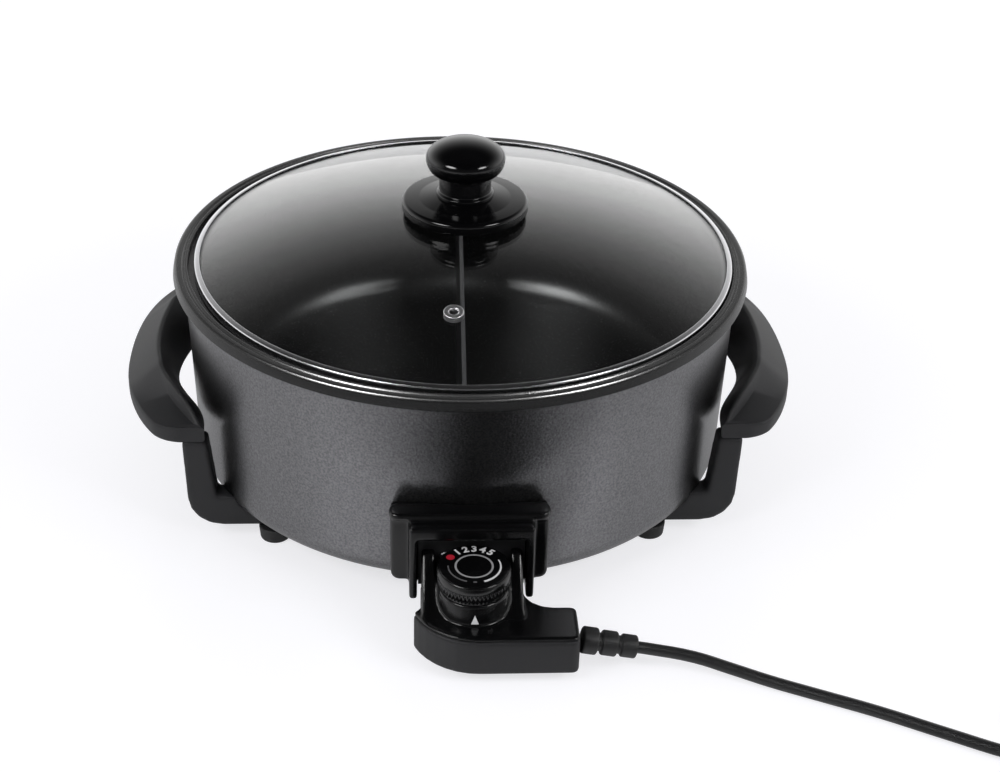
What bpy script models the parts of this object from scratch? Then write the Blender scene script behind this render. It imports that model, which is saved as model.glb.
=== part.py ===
"""Electric skillet: a deep round pan with a glass lid, two D-shaped handles on
leg frames, and a temperature control that plugs into a socket on the front.

The front is -Y and the table is z = 0. Every number is in metres unless its
name says otherwise. The pan's own axis stands behind the origin, because the
control sticks out in front and the origin is the middle of the whole object.
"""
import math

import bmesh
import bpy
from mathutils import Vector

# Clearances
GAP = 0.0003                 # between pieces that touch
CUT = 0.0010                 # how far a cutter runs past what it cuts
BORE_PLAY = 0.0003           # round a shank in its hole

# The pan, which all else is placed by
RIM_RADIUS = 0.1766
RIM_FLARE = 0.0016
RIM_HEIGHT = 0.1500
RIM_DEPTH = 0.0068
RIM_ROUND = 0.0022
FOOT_HEIGHT = 0.0095

# Outer shell
SHELL_UNDER_RIM = 0.0064       # how far in from the rim's edge the shell's top stands
SHELL_TAPER = 0.0042           # how much narrower the shell is at its foot
SHELL_CORNER = 0.0150
SHELL_BOTTOM = 0.0180
SHELL_WALL = 0.0016
SHELL_FLANGE = 0.0460          # the flange under the pan, from the wall to its mouth

# Liner, the pan that holds the food
LINER_WALL = 0.0022
LINER_OFF_TOP = 0.0102         # from the shell's wall in to the liner's, at the top
LINER_OFF_FOOT = 0.0090        # the same at the foot
LINER_CORNER = 0.0240
LINER_FLOOR = 0.0420
RIM_WIDTH = 0.0092             # from the rim's edge in to the ledge's wall
LEDGE_DROP = 0.0045

# Lid
LID_PLAY = 0.0022
LID_SHIFT = 0.0016             # the lid sits loose, against the right of its ledge
BAND_DEPTH = 0.0055
BAND_LIP = 0.0034
BAND_SHEET = 0.0008
GLASS_THICKNESS = 0.0032
GLASS_RING_SHARES = (0.84, 0.34)
DOME_RISE = 0.0288
KNOB_SCREW_RADIUS = 0.0024
KNOB_SCREW_REACH = 0.0210
FLANGE_RADIUS = 0.0385
FLANGE_EDGE = 0.0074
FLANGE_RISE = 0.0026
FLANGE_DISH_SHARE = 0.3
NECK_RADIUS = 0.0158
NECK_HEIGHT = 0.0138
KNOB_RADIUS = 0.0240
KNOB_HEIGHT = 0.0348
KNOB_WIDEST = 0.0236
KNOB_EDGE = 0.0015
WASHER_RADIUS = 0.0120
WASHER_THICKNESS = 0.0015
SCREW_HEAD_RADIUS = 0.0045
SCREW_HEAD_HEIGHT = 0.0025
VENT_RADIUS = 0.0060
VENT_BORE = 0.0024
VENT_BARREL = 0.0034
VENT_SHEET = 0.0006
VENT_X = -0.0098
VENT_INSET = 0.0585            # from the lid's front edge

# Divider
DIVIDER_THICKNESS = 0.0024
DIVIDER_PLAY = 0.0006
DIVIDER_HEADROOM = 0.0010
DIVIDER_TURN_DEGREES = -1.3     # it stands loose, a little askew

# Heating element and probe tube, clamped under the liner
ELEMENT_RADIUS = 0.0040
ELEMENT_INSET = 0.0620         # from the liner's wall in to the ring
ELEMENT_BEND = 0.0200
TERMINAL_SPREAD = 0.0215
PIN_RADIUS = 0.0025
PIN_LENGTH = 0.0180
TUBE_BORE = 0.0034
TUBE_REACH = 0.0860            # behind the socket's face
CLAMP_WIDTH = 0.0080
CLAMP_PLAY = 0.0008
CLAMP_SHEET = 0.0012
CLAMP_FOOT = 0.0080

# Bottom plate and its bolt
PLATE_OVERLAP = 0.0040
PLATE_THICKNESS = 0.0012
BOLT_RADIUS = 0.0030
BOLT_HEAD_RADIUS = 0.0060
BOLT_HEAD_HEIGHT = 0.0030

# Handles
HANDLE_HALF_LENGTH = 0.0920
HANDLE_OUT = 0.0378            # from the shell's wall to the wing's edge
HANDLE_END_CLEAR = 0.0027      # from the shell's wall to the handle's ends
HANDLE_END_WIDTH = 0.0245
HANDLE_END_TOP = 0.0805
HANDLE_END_THICKNESS = 0.0100
HANDLE_FINGER_ROOM = 0.0178    # from the shell's wall to the lip
HANDLE_LIP_HALF = 0.0350        # half the length over which the lip stays level
HANDLE_LIP_RISE = 0.0155
HANDLE_CREASE_OUT = 0.0030
HANDLE_HEEL_IN = 0.0110         # how far under the lip the heel turns in
HANDLE_HEEL_BOTTOM = 0.0600
HANDLE_WING_TOP = 0.0775
HANDLE_WING_EDGE = 0.0060
HANDLE_ROUND = 0.0022
HANDLE_END_CORNER = 0.0080
SWELL_POWER = 2.2
SWELL_SHARE = 0.8
LIP_TURN_POWER = 1.6
LIP_FALL_POWER = 5.0
CREASE_FALL_POWER = 1.4

# Legs
LEG_DEPTH = 0.0150
LEG_TOP_CLEAR = 0.0017          # from the shell's wall to the post, at the top
LEG_FOOT_CLEAR = 0.0024         # the same at the foot
LEG_TOP_WIDTH = 0.0150
LEG_FOOT_WIDTH = 0.0173
LEG_BAR_HEIGHT = 0.0215
LEG_KNEE = 0.0200
LEG_INNER_KNEE = 0.0020
LEG_EDGE = 0.0012
LEG_PAST_SCREW = 0.0090         # from the screw under the pan to the bar's end
FOOT_FROM_SCREW = 0.0173
FOOT_OUT = 0.0045               # how far past the leg's middle the foot's middle stands
FOOT_RADIUS = 0.0100
FOOT_ROUND = 0.0020
LEG_SCREW_INSET = 0.0094        # from the shell's mouth out to the screw
LEG_SCREW_RADIUS = 0.0020
LEG_SCREW_HEAD = 0.0038
LEG_SCREW_HEAD_HEIGHT = 0.0024
LEG_SCREW_TIP = 0.0050
HANDLE_SCREW_REACH = 0.0060

# Socket shroud on the front of the shell
SHROUD_OUT = 0.0100             # from the shell's wall to the socket's face
SHROUD_SIDE = 0.0095            # past the hood at each side
SHROUD_UNDER = 0.0053           # below the middle of the pins
SHROUD_CORNER = 0.0050
SHROUD_CLEAR = 0.0004
SHELF_STEP = 0.0016             # above the hood
SHELF_SIDE = 0.0009             # past the block at each side
SHELF_THICKNESS = 0.0050
SHELF_ROUND = 0.0020
SHELF_BEHIND = 0.0105           # from the socket's face back
SHELF_AHEAD = 0.0030            # from the socket's face forward
HOOD_DEPTH = 0.0110
HOOD_WALL = 0.0045
HOOD_SIDE_ROOM = 0.0020         # from the control's neck to the hood
HOOD_HEADROOM = 0.0097          # from the control's shoulder to the hood
HOOD_LINTEL = 0.0087
HOOD_UNDER = 0.0107             # below the middle of the pins
EDGE_ROUND = 0.0012
TERMINAL_SHEET = 0.0015
TERMINAL_SHORT = 0.0015         # below the hood's ceiling
TERMINAL_UNDER = 0.0065         # below the middle of the pins
SHROUD_SCREW_X = 0.0140
SHROUD_SCREW_DROP = 0.0160      # below the hood's ceiling
SHROUD_SCREW_RADIUS = 0.0015
SHROUD_SCREW_HEAD = 0.0030
SHROUD_SCREW_HEAD_HEIGHT = 0.0015

# Temperature control that plugs into the shroud
CONTROL_AHEAD = 0.0565          # from the socket's face to the control's front
CONTROL_BOTTOM = 0.0070
SEAM_UNDER = 0.0063             # below the middle of the pins
CONTROL_CAP = 0.0024
CONTROL_EDGE = 0.0012
CONTROL_FOOT_EDGE = 0.0008
SHOULDER_ROUND = 0.0025
NECK_X = 0.0010
NECK_HALF_WIDTH = 0.0288
NECK_PLAY = 0.0006
SHOULDER_RISE = 0.0105          # above the collar
SHOULDER_BACK_AHEAD = 0.0080    # these places are measured from the socket's face
SHOULDER_TOE_AHEAD = 0.0400
SHOULDER_POWER = 1.4            # how hollow the shoulder's slope is
ARM_END = 0.0595
ARM_BACK_AHEAD = 0.0273
ARM_FILLET = 0.0170
ARM_CORNER = 0.0038
NOSE_RADIUS = 0.0400
NOSE_X = 0.0050
CHEEK_SHARE = 0.935             # how far round the nose the left cheek starts
CHEEK_FLARE_AHEAD = 0.0260
DIAL_X = 0.0015
DIAL_AHEAD = 0.0242
COLLAR_HEIGHT = 0.0156
COLLAR_RADIUS = 0.0196
COLLAR_TAPER = 0.0018
CHAMBER_RADIUS = 0.0165
CHAMBER_FLOOR = 0.0120
COLLAR_SKIN = 0.0028
DIAL_RADIUS = 0.0207
DIAL_TIER_RADIUS = 0.0188
DIAL_TIER = 0.0040
DIAL_HEIGHT = 0.0129
DIAL_BEVEL = 0.0010
DIAL_FLUTE = 0.0005
SHAFT_RADIUS = 0.0030
SHAFT_SHORT = 0.0050            # below the dial's top
THERMOSTAT_LENGTH = 0.0240
THERMOSTAT_WIDTH = 0.0200
THERMOSTAT_HEADROOM = 0.0020
THERMOSTAT_ROUND = 0.0015
PROBE_RADIUS = 0.0030
PROBE_SHORT = 0.0050            # of the tube's end
SLEEVE_RADIUS = 0.0040
SLEEVE_BORE = 0.0028
ARM_SCREW_X = 0.0440
ARM_SCREW_AHEAD = 0.0420
NECK_SCREW_X = -0.0235
NECK_SCREW_AHEAD = 0.0240
CONTROL_SCREW_RADIUS = 0.0014
CONTROL_SCREW_HEAD = 0.0028
CONTROL_SCREW_HEAD_HEIGHT = 0.0018
CONTROL_SCREW_TIP = 0.0015

# Strain relief and cord
CORD_RADIUS = 0.0034
CORD_LIFT = 0.0014
RELIEF_RADIUS = 0.0077
RELIEF_TIP_RADIUS = 0.0066
RELIEF_RIBS = 3
RELIEF_RIB = 0.0090
RELIEF_GROOVE = 0.0023
RELIEF_CORE = 0.0052
RELIEF_ROUND = 0.0007
RELIEF_UNDER = 0.0095           # below the control's seam
RELIEF_DROOP_DEGREES = 11.0
COIL_X = 0.3500
COIL_Y = -0.2765
COIL_RADIUS = 0.0450
COIL_PITCH = 0.0074
COIL_LAYER = 0.0073
COIL_ENTRY_DEGREES = 244.0
TIE_SHEET = 0.0008
TIE_WIDTH = 0.0080
TIE_PLAY = 0.0005
PLUG_RADIUS = 0.0185
PLUG_FACE_LENGTH = 0.0200
PLUG_GRIP_RADIUS = 0.0120
PLUG_GRIP_LENGTH = 0.0300
PLUG_TAIL_RADIUS = 0.0058
PLUG_TAIL_LENGTH = 0.0160
PLUG_PIN_RADIUS = 0.0024
PLUG_PIN_LENGTH = 0.0190
PLUG_PIN_SPREAD = 0.0095
PLUG_EDGE = 0.0015

# Counts
PAN_STEPS = 56
KNOB_STEPS = 26
PLATE_STEPS = 32
PLUG_STEPS = 24
SMALL_STEPS = 16
TINY_STEPS = 8
HANDLE_SECTIONS = 18
COIL_STEPS = 24
COIL_TURNS = 4
DIAL_FLUTES = 32
CORNER_STEPS = 3
SHOULDER_STEPS = 6

# Worked out from the sizes above: the pan
SHELL_TOP_RADIUS = RIM_RADIUS - SHELL_UNDER_RIM
SHELL_FOOT_RADIUS = SHELL_TOP_RADIUS - SHELL_TAPER
SHELL_MOUTH_RADIUS = SHELL_FOOT_RADIUS - SHELL_FLANGE
LINER_TOP_RADIUS = SHELL_TOP_RADIUS - LINER_OFF_TOP
LINER_FOOT_RADIUS = SHELL_FOOT_RADIUS - LINER_OFF_FOOT
LINER_UNDERSIDE = LINER_FLOOR - LINER_WALL
LEDGE_RADIUS = RIM_RADIUS - RIM_WIDTH
LEDGE = RIM_HEIGHT - LEDGE_DROP
ELEMENT_RING = LINER_FOOT_RADIUS - ELEMENT_INSET
ELEMENT_Z = LINER_UNDERSIDE - GAP - ELEMENT_RADIUS

# The lid
LID_RADIUS = LEDGE_RADIUS - LID_PLAY
SEAT = LEDGE + GAP
GLASS_BOTTOM = SEAT + BAND_SHEET + GAP
GLASS_RADIUS = LID_RADIUS - BAND_SHEET - GAP
DOME_TOP = GLASS_BOTTOM + GLASS_THICKNESS + DOME_RISE
VENT_Y = VENT_INSET - LID_RADIUS

# The handles and legs, which follow the shell's wall where the legs stand
LEG_Y = HANDLE_HALF_LENGTH - LEG_DEPTH / 2
LEG_INNER_FACE = HANDLE_HALF_LENGTH - LEG_DEPTH
WALL_X_TOP = math.sqrt(SHELL_TOP_RADIUS ** 2 - LEG_INNER_FACE ** 2)
WALL_X_FOOT = math.sqrt(SHELL_FOOT_RADIUS ** 2 - LEG_INNER_FACE ** 2)
HANDLE_REACH = SHELL_TOP_RADIUS + HANDLE_OUT
HANDLE_LIP_RADIUS = SHELL_TOP_RADIUS + HANDLE_FINGER_ROOM
HANDLE_HEEL_OUT = HANDLE_LIP_RADIUS - HANDLE_HEEL_IN
HANDLE_END_IN = WALL_X_TOP + HANDLE_END_CLEAR
HANDLE_END_OUT = HANDLE_END_IN + HANDLE_END_WIDTH
LEG_IN_TOP = WALL_X_TOP + LEG_TOP_CLEAR
LEG_OUT_TOP = LEG_IN_TOP + LEG_TOP_WIDTH
LEG_IN_FOOT = WALL_X_FOOT + LEG_FOOT_CLEAR
LEG_OUT_FOOT = LEG_IN_FOOT + LEG_FOOT_WIDTH
LEG_SCREW_X = math.sqrt((SHELL_MOUTH_RADIUS + LEG_SCREW_INSET) ** 2 - LEG_Y ** 2)
LEG_REACH_IN = LEG_SCREW_X - LEG_PAST_SCREW
FOOT_X = LEG_SCREW_X + FOOT_FROM_SCREW

# The control and the socket, whose heights follow the element's
SHROUD_FACE_Y = -SHELL_FOOT_RADIUS - SHROUD_OUT
NECK_FACE_Y = SHROUD_FACE_Y - GAP - TERMINAL_SHEET - NECK_PLAY
CONTROL_REACH = CONTROL_AHEAD - SHROUD_FACE_Y
DIAL_Y = SHROUD_FACE_Y - DIAL_AHEAD
ARM_BACK_Y = SHROUD_FACE_Y - ARM_BACK_AHEAD
CHEEK_FLARE_Y = SHROUD_FACE_Y - CHEEK_FLARE_AHEAD
SHOULDER_BACK_Y = SHROUD_FACE_Y - SHOULDER_BACK_AHEAD
SHOULDER_TOE_Y = SHROUD_FACE_Y - SHOULDER_TOE_AHEAD
CONTROL_SEAM = ELEMENT_Z - SEAM_UNDER
COLLAR_TOP = CONTROL_SEAM + COLLAR_HEIGHT
SHOULDER_TOP = COLLAR_TOP + SHOULDER_RISE
CHAMBER_ROOF = COLLAR_TOP - COLLAR_SKIN
THERMOSTAT_TOP = CHAMBER_ROOF - THERMOSTAT_HEADROOM
DIAL_TOP = COLLAR_TOP + GAP + DIAL_HEIGHT
SHAFT_TOP = DIAL_TOP - SHAFT_SHORT
RELIEF_Z = CONTROL_SEAM - RELIEF_UNDER
TUBE_BACK_Y = SHROUD_FACE_Y + TUBE_REACH
PROBE_BACK_Y = TUBE_BACK_Y - PROBE_SHORT
HOOD_CEILING = SHOULDER_TOP + HOOD_HEADROOM
HOOD_TOP = HOOD_CEILING + HOOD_LINTEL
HOOD_BOTTOM = ELEMENT_Z - HOOD_UNDER
HOOD_HALF_WIDTH = NECK_HALF_WIDTH + HOOD_SIDE_ROOM + HOOD_WALL
HOOD_FACE_Y = SHROUD_FACE_Y - HOOD_DEPTH
SHROUD_TOP = HOOD_TOP + SHELF_STEP
SHROUD_BOTTOM = ELEMENT_Z - SHROUD_UNDER
SHROUD_HALF_WIDTH = HOOD_HALF_WIDTH + SHROUD_SIDE
SHELF_HALF_WIDTH = SHROUD_HALF_WIDTH + SHELF_SIDE
SHELF_BACK_Y = SHROUD_FACE_Y + SHELF_BEHIND
SHELF_REACH_Y = SHROUD_FACE_Y - SHELF_AHEAD
TERMINAL_TOP = HOOD_CEILING - TERMINAL_SHORT
TERMINAL_BOTTOM = ELEMENT_Z - TERMINAL_UNDER
SHROUD_SCREW_Z = HOOD_CEILING - SHROUD_SCREW_DROP

# The whole
PAN_AXIS_Y = (CONTROL_REACH - RIM_RADIUS) / 2
COIL_FLOOR = CORD_LIFT + CORD_RADIUS

# The cord's route, chosen by hand, from the strain relief to the coil
CORD_ROUTE = (
    (0.1250, -0.2215, 0.0088),
    (0.1450, -0.2280, 0.0056),
    (0.1650, -0.2368, 0.0038),
    (0.1900, -0.2485, 0.0034),
    (0.2200, -0.2630, 0.0034),
    (0.2550, -0.2825, 0.0036),
    (0.2850, -0.2990, 0.0041),
)
# From the coil to the mains plug, which lies behind the coil
TAIL_ROUTE = (
    (0.3500, -0.3265, 0.0115),
    (0.3800, -0.3230, 0.0095),
    (0.4040, -0.3040, 0.0075),
    (0.4130, -0.2750, 0.0070),
    (0.4060, -0.2450, 0.0085),
    (0.3960, -0.2250, 0.0130),
)
PLUG_AT = (0.3890, -0.2050, 0.0188)
PLUG_TOWARDS = (-0.30, 1.0, 0.0)


def clear_scene():
    """Start from nothing, in whatever file the script is run."""
    for item in list(bpy.data.objects):
        bpy.data.objects.remove(item, do_unlink=True)


def linear(channel):
    """One sRGB channel, 0 to 255, as linear light."""
    value = channel / 255
    if value <= 0.04045:
        return value / 12.92
    return ((value + 0.055) / 1.055) ** 2.4


def finish(name, srgb, roughness, metallic=0.0, alpha=1.0):
    """A Principled material of one colour."""
    material = bpy.data.materials.new(name)
    material.use_nodes = True
    shader = material.node_tree.nodes["Principled BSDF"]
    colour = tuple(linear(channel) for channel in srgb) + (1.0,)
    shader.inputs["Base Color"].default_value = colour
    shader.inputs["Roughness"].default_value = roughness
    shader.inputs["Metallic"].default_value = metallic
    shader.inputs["Alpha"].default_value = alpha
    material.diffuse_color = colour[:3] + (alpha,)
    return material


def carrier(name, at, parent=None):
    """An empty on a joint's axis; at is measured from the pan's axis."""
    empty = bpy.data.objects.new(name, None)
    empty.location = (at[0], at[1] + PAN_AXIS_Y, at[2])
    bpy.context.scene.collection.objects.link(empty)
    if parent is not None:
        bpy.context.view_layer.update()
        empty.parent = parent
        empty.matrix_parent_inverse = parent.matrix_world.inverted()
    bpy.context.view_layer.update()
    return empty


def carry(item, body):
    """Parent a piece to its carrier and leave it where it is."""
    item.parent = body
    item.matrix_parent_inverse = body.matrix_world.inverted()


def add(name, form, material=None, body=None, at=(0, 0, 0), turn=(0, 0, 0)):
    """Make an object from a bmesh; at is measured from the pan's axis."""
    bmesh.ops.remove_doubles(form, verts=form.verts, dist=1e-6)
    bmesh.ops.recalc_face_normals(form, faces=form.faces)
    mesh = bpy.data.meshes.new(name)
    form.to_mesh(mesh)
    form.free()
    mesh.shade_smooth()
    mesh.set_sharp_from_angle(angle=math.radians(40))
    item = bpy.data.objects.new(name, mesh)
    item.location = (at[0], at[1] + PAN_AXIS_Y, at[2])
    item.rotation_euler = turn
    bpy.context.scene.collection.objects.link(item)
    if material is not None:
        mesh.materials.append(material)
    if body is not None:
        carry(item, body)
    return item


def tool(name, form, at=(0, 0, 0), turn=(0, 0, 0)):
    """A cutter or a shape to fuse, which isn't a piece itself."""
    item = add(name, form, at=at, turn=turn)
    item.hide_render = True
    item.display_type = 'WIRE'
    return item


def combine(item, other, operation):
    """Cut or fuse another shape with a Boolean modifier."""
    step = item.modifiers.new(other.name, 'BOOLEAN')
    step.operation = operation
    step.solver = 'EXACT'
    step.object = other


def cut(item, other):
    combine(item, other, 'DIFFERENCE')


def fuse(item, other):
    combine(item, other, 'UNION')


def ease(item, width, segments=1):
    """Round a piece's sharp edges."""
    step = item.modifiers.new("edges", 'BEVEL')
    step.width = width
    step.segments = segments
    step.limit_method = 'ANGLE'
    step.angle_limit = math.radians(35)


def arc(centre, radius, start, end, steps=CORNER_STEPS):
    """Points along an arc, angles in degrees, both ends included."""
    points = []
    for step in range(steps + 1):
        angle = math.radians(start + (end - start) * step / steps)
        points.append((centre[0] + radius * math.cos(angle), centre[1] + radius * math.sin(angle)))
    return points


def rounded(corners, steps=CORNER_STEPS):
    """A closed outline whose corners (x, y, radius) are filleted."""
    points = []
    for index, (x, y, radius) in enumerate(corners):
        if radius == 0:
            points.append((x, y))
            continue
        here = Vector((x, y))
        before = (Vector(corners[index - 1][:2]) - here).normalized()
        after = (Vector(corners[(index + 1) % len(corners)][:2]) - here).normalized()
        half = before.angle(after) / 2
        centre = here + (before + after).normalized() * (radius / math.sin(half))
        first = here + before * (radius / math.tan(half)) - centre
        last = here + after * (radius / math.tan(half)) - centre
        start = math.degrees(math.atan2(first.y, first.x))
        sweep = math.degrees(math.atan2(last.y, last.x)) - start
        sweep = (sweep + 180) % 360 - 180
        points += arc(centre, radius, start, start + sweep, steps)
    return points


def turned(profile, steps=SMALL_STEPS):
    """Revolve a profile of (radius, height) about Z.

    A profile whose two ends lie on the axis makes a solid, and any other
    profile is joined up into a ring.
    """
    form = bmesh.new()
    rings = []
    for radius, height in profile:
        if radius == 0:
            rings.append([form.verts.new((0, 0, height))])
            continue
        ring = []
        for step in range(steps):
            angle = math.tau * step / steps
            ring.append(form.verts.new((radius * math.cos(angle), radius * math.sin(angle), height)))
        rings.append(ring)
    pairs = list(zip(rings, rings[1:]))
    if profile[0][0] != 0:
        pairs.append((rings[-1], rings[0]))
    for low, high in pairs:
        for step in range(steps):
            corners = {low[step % len(low)]: None, low[(step + 1) % len(low)]: None}
            corners[high[(step + 1) % len(high)]] = None
            corners[high[step % len(high)]] = None
            if len(corners) > 2:
                form.faces.new(list(corners))
    return form


def lofted(sections):
    """Skin a row of sections with equal numbers of points, and cap both ends."""
    form = bmesh.new()
    rings = [[form.verts.new(point) for point in section] for section in sections]
    count = len(rings[0])
    for low, high in zip(rings, rings[1:]):
        for step in range(count):
            after = (step + 1) % count
            form.faces.new((low[step], low[after], high[after], high[step]))
    form.faces.new(list(reversed(rings[0])))
    form.faces.new(rings[-1])
    return form


def prism(outline, low, high, along="z"):
    """Extrude a flat outline between two places along one axis."""
    if along == "x":
        return lofted([[(depth, a, b) for a, b in outline] for depth in (low, high)])
    if along == "y":
        return lofted([[(a, depth, b) for a, b in outline] for depth in (low, high)])
    return lofted([[(a, b, depth) for a, b in outline] for depth in (low, high)])


def block(low, high):
    """A plain block between two corners."""
    outline = ((low[0], low[1]), (high[0], low[1]), (high[0], high[1]), (low[0], high[1]))
    return prism(outline, low[2], high[2])


def drum(radius, low, high, steps=SMALL_STEPS):
    """A plain cylinder standing on Z."""
    return turned([(0, low), (radius, low), (radius, high), (0, high)], steps)


def screw_form(head_radius, head_height, shank_radius, reach):
    """A pan-head screw: its head from z = 0 up, its shank above the head."""
    crown = head_height / 3
    return turned([
        (0, 0), (head_radius - crown, 0), (head_radius, crown), (head_radius, head_height),
        (shank_radius, head_height), (shank_radius, head_height + reach - shank_radius),
        (0, head_height + reach),
    ], TINY_STEPS)


def tube(name, points, radius, material, body, resolution=2):
    """A round tube along points, as a curve with filled ends."""
    curve = bpy.data.curves.new(name, 'CURVE')
    curve.dimensions = '3D'
    spline = curve.splines.new('POLY')
    spline.points.add(len(points) - 1)
    for point, place in zip(spline.points, points):
        point.co = (*place, 1)
    curve.bevel_depth = radius
    curve.bevel_resolution = resolution
    curve.use_fill_caps = True
    curve.materials.append(material)
    item = bpy.data.objects.new(name, curve)
    item.location = (0, PAN_AXIS_Y, 0)
    bpy.context.scene.collection.objects.link(item)
    carry(item, body)
    return item


def shell_line(offset):
    """The shell's outer face from its top edge to its flange, moved out by offset."""
    centre = (SHELL_FOOT_RADIUS - SHELL_CORNER, SHELL_BOTTOM + SHELL_CORNER)
    top = RIM_HEIGHT - LINER_WALL - GAP
    return [(SHELL_TOP_RADIUS + offset, top)] + arc(centre, SHELL_CORNER + offset, 0, -90, 3)


def liner_line(offset):
    """The liner's inner face from the middle of its floor to its ledge, moved out by offset."""
    centre = (LINER_FOOT_RADIUS - LINER_CORNER, LINER_FLOOR + LINER_CORNER)
    curve = arc(centre, LINER_CORNER + offset, -90, 0, 4)
    return [(0, LINER_FLOOR - offset)] + curve + [(LINER_TOP_RADIUS + offset, LEDGE - offset)]


def dome(radius):
    """Height of the glass's underside at a distance from the lid's middle."""
    return GLASS_BOTTOM + DOME_RISE * (1 - (radius / GLASS_RADIUS) ** 2)


def make_shell(root, paint):
    """The outer shell with its socket opening and the holes for its screws."""
    outside = shell_line(0) + [(SHELL_MOUTH_RADIUS, SHELL_BOTTOM)]
    inside = [(SHELL_MOUTH_RADIUS, SHELL_BOTTOM + SHELL_WALL)] + shell_line(-SHELL_WALL)[::-1]
    shell = add("outer_shell", turned(outside + inside, PAN_STEPS), paint, root)
    side = TERMINAL_SPREAD + ELEMENT_RADIUS + CUT
    low = (-side, -SHELL_TOP_RADIUS - CUT, ELEMENT_Z - ELEMENT_RADIUS - CUT)
    high = (side, -SHELL_FOOT_RADIUS + SHELL_CORNER, ELEMENT_Z + ELEMENT_RADIUS + CUT)
    cut(shell, tool("socket_opening", block(low, high)))
    for side in (-1, 1):
        hole = drum(SHROUD_SCREW_RADIUS + BORE_PLAY, SHELL_FOOT_RADIUS - SHELL_CORNER, RIM_RADIUS, TINY_STEPS)
        at = (side * SHROUD_SCREW_X, 0, SHROUD_SCREW_Z)
        cut(shell, tool("shroud_screw_hole", hole, at, (math.radians(90), 0, 0)))
        for end in (-1, 1):
            low = FOOT_HEIGHT
            high = SHELL_BOTTOM + SHELL_WALL + CUT
            hole = drum(LEG_SCREW_RADIUS + BORE_PLAY, low, high, TINY_STEPS)
            cut(shell, tool("leg_screw_hole", hole, (side * LEG_SCREW_X, end * LEG_Y, 0)))


def make_liner(root, coating):
    """The non-stick liner: floor, wall, lid ledge and the rolled rim over the shell."""
    step = LEDGE_RADIUS + RIM_ROUND / 2
    edge = RIM_RADIUS - LINER_WALL
    rim = [(LEDGE_RADIUS, LEDGE), (LEDGE_RADIUS, RIM_HEIGHT - RIM_ROUND / 2), (step, RIM_HEIGHT)]
    rim += arc((RIM_RADIUS - RIM_FLARE - RIM_ROUND, RIM_HEIGHT - RIM_ROUND), RIM_ROUND, 90, 0, 2)
    rim += [(RIM_RADIUS, RIM_HEIGHT - RIM_DEPTH), (edge, RIM_HEIGHT - RIM_DEPTH)]
    rim += [(edge, RIM_HEIGHT - LINER_WALL), (LEDGE_RADIUS + GAP, RIM_HEIGHT - LINER_WALL)]
    rim += [(LEDGE_RADIUS + GAP, LEDGE - LINER_WALL)]
    under = liner_line(LINER_WALL)[::-1]
    add("pan_liner", turned(liner_line(0) + rim + under, PAN_STEPS), coating, root)


def make_base(root, steel):
    """The bottom plate inside the shell's flange, and the bolt that holds it up."""
    low = SHELL_BOTTOM + SHELL_WALL + GAP
    high = low + PLATE_THICKNESS
    outer = SHELL_MOUTH_RADIUS + PLATE_OVERLAP
    plate = [(BOLT_RADIUS + BORE_PLAY, low), (outer, low), (outer, high), (BOLT_RADIUS + BORE_PLAY, high)]
    add("base_plate", turned(plate, PLATE_STEPS), steel, root)
    head = low - GAP - BOLT_HEAD_HEIGHT
    reach = LINER_UNDERSIDE - GAP - head - BOLT_HEAD_HEIGHT
    form = screw_form(BOLT_HEAD_RADIUS, BOLT_HEAD_HEIGHT, BOLT_RADIUS, reach)
    add("base_bolt", form, steel, root, (0, 0, head))


def element_path():
    """Centre line of the heating element: cold end, bend, ring, bend, cold end."""
    bend_x = TERMINAL_SPREAD + ELEMENT_BEND
    apart = ELEMENT_RING + ELEMENT_BEND
    bend_y = -math.sqrt(apart ** 2 - bend_x ** 2)
    lean = math.degrees(math.atan2(-bend_y, bend_x))
    right = [(TERMINAL_SPREAD, SHROUD_FACE_Y + GAP)]
    right += arc((bend_x, bend_y), ELEMENT_BEND, 180, 180 - lean, 4)
    ring = arc((0, 0), ELEMENT_RING, -lean, 180 + lean, 28)
    left = [(-x, y) for x, y in reversed(right)]
    return [(x, y, ELEMENT_Z) for x, y in right + ring[1:-1] + left]


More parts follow.
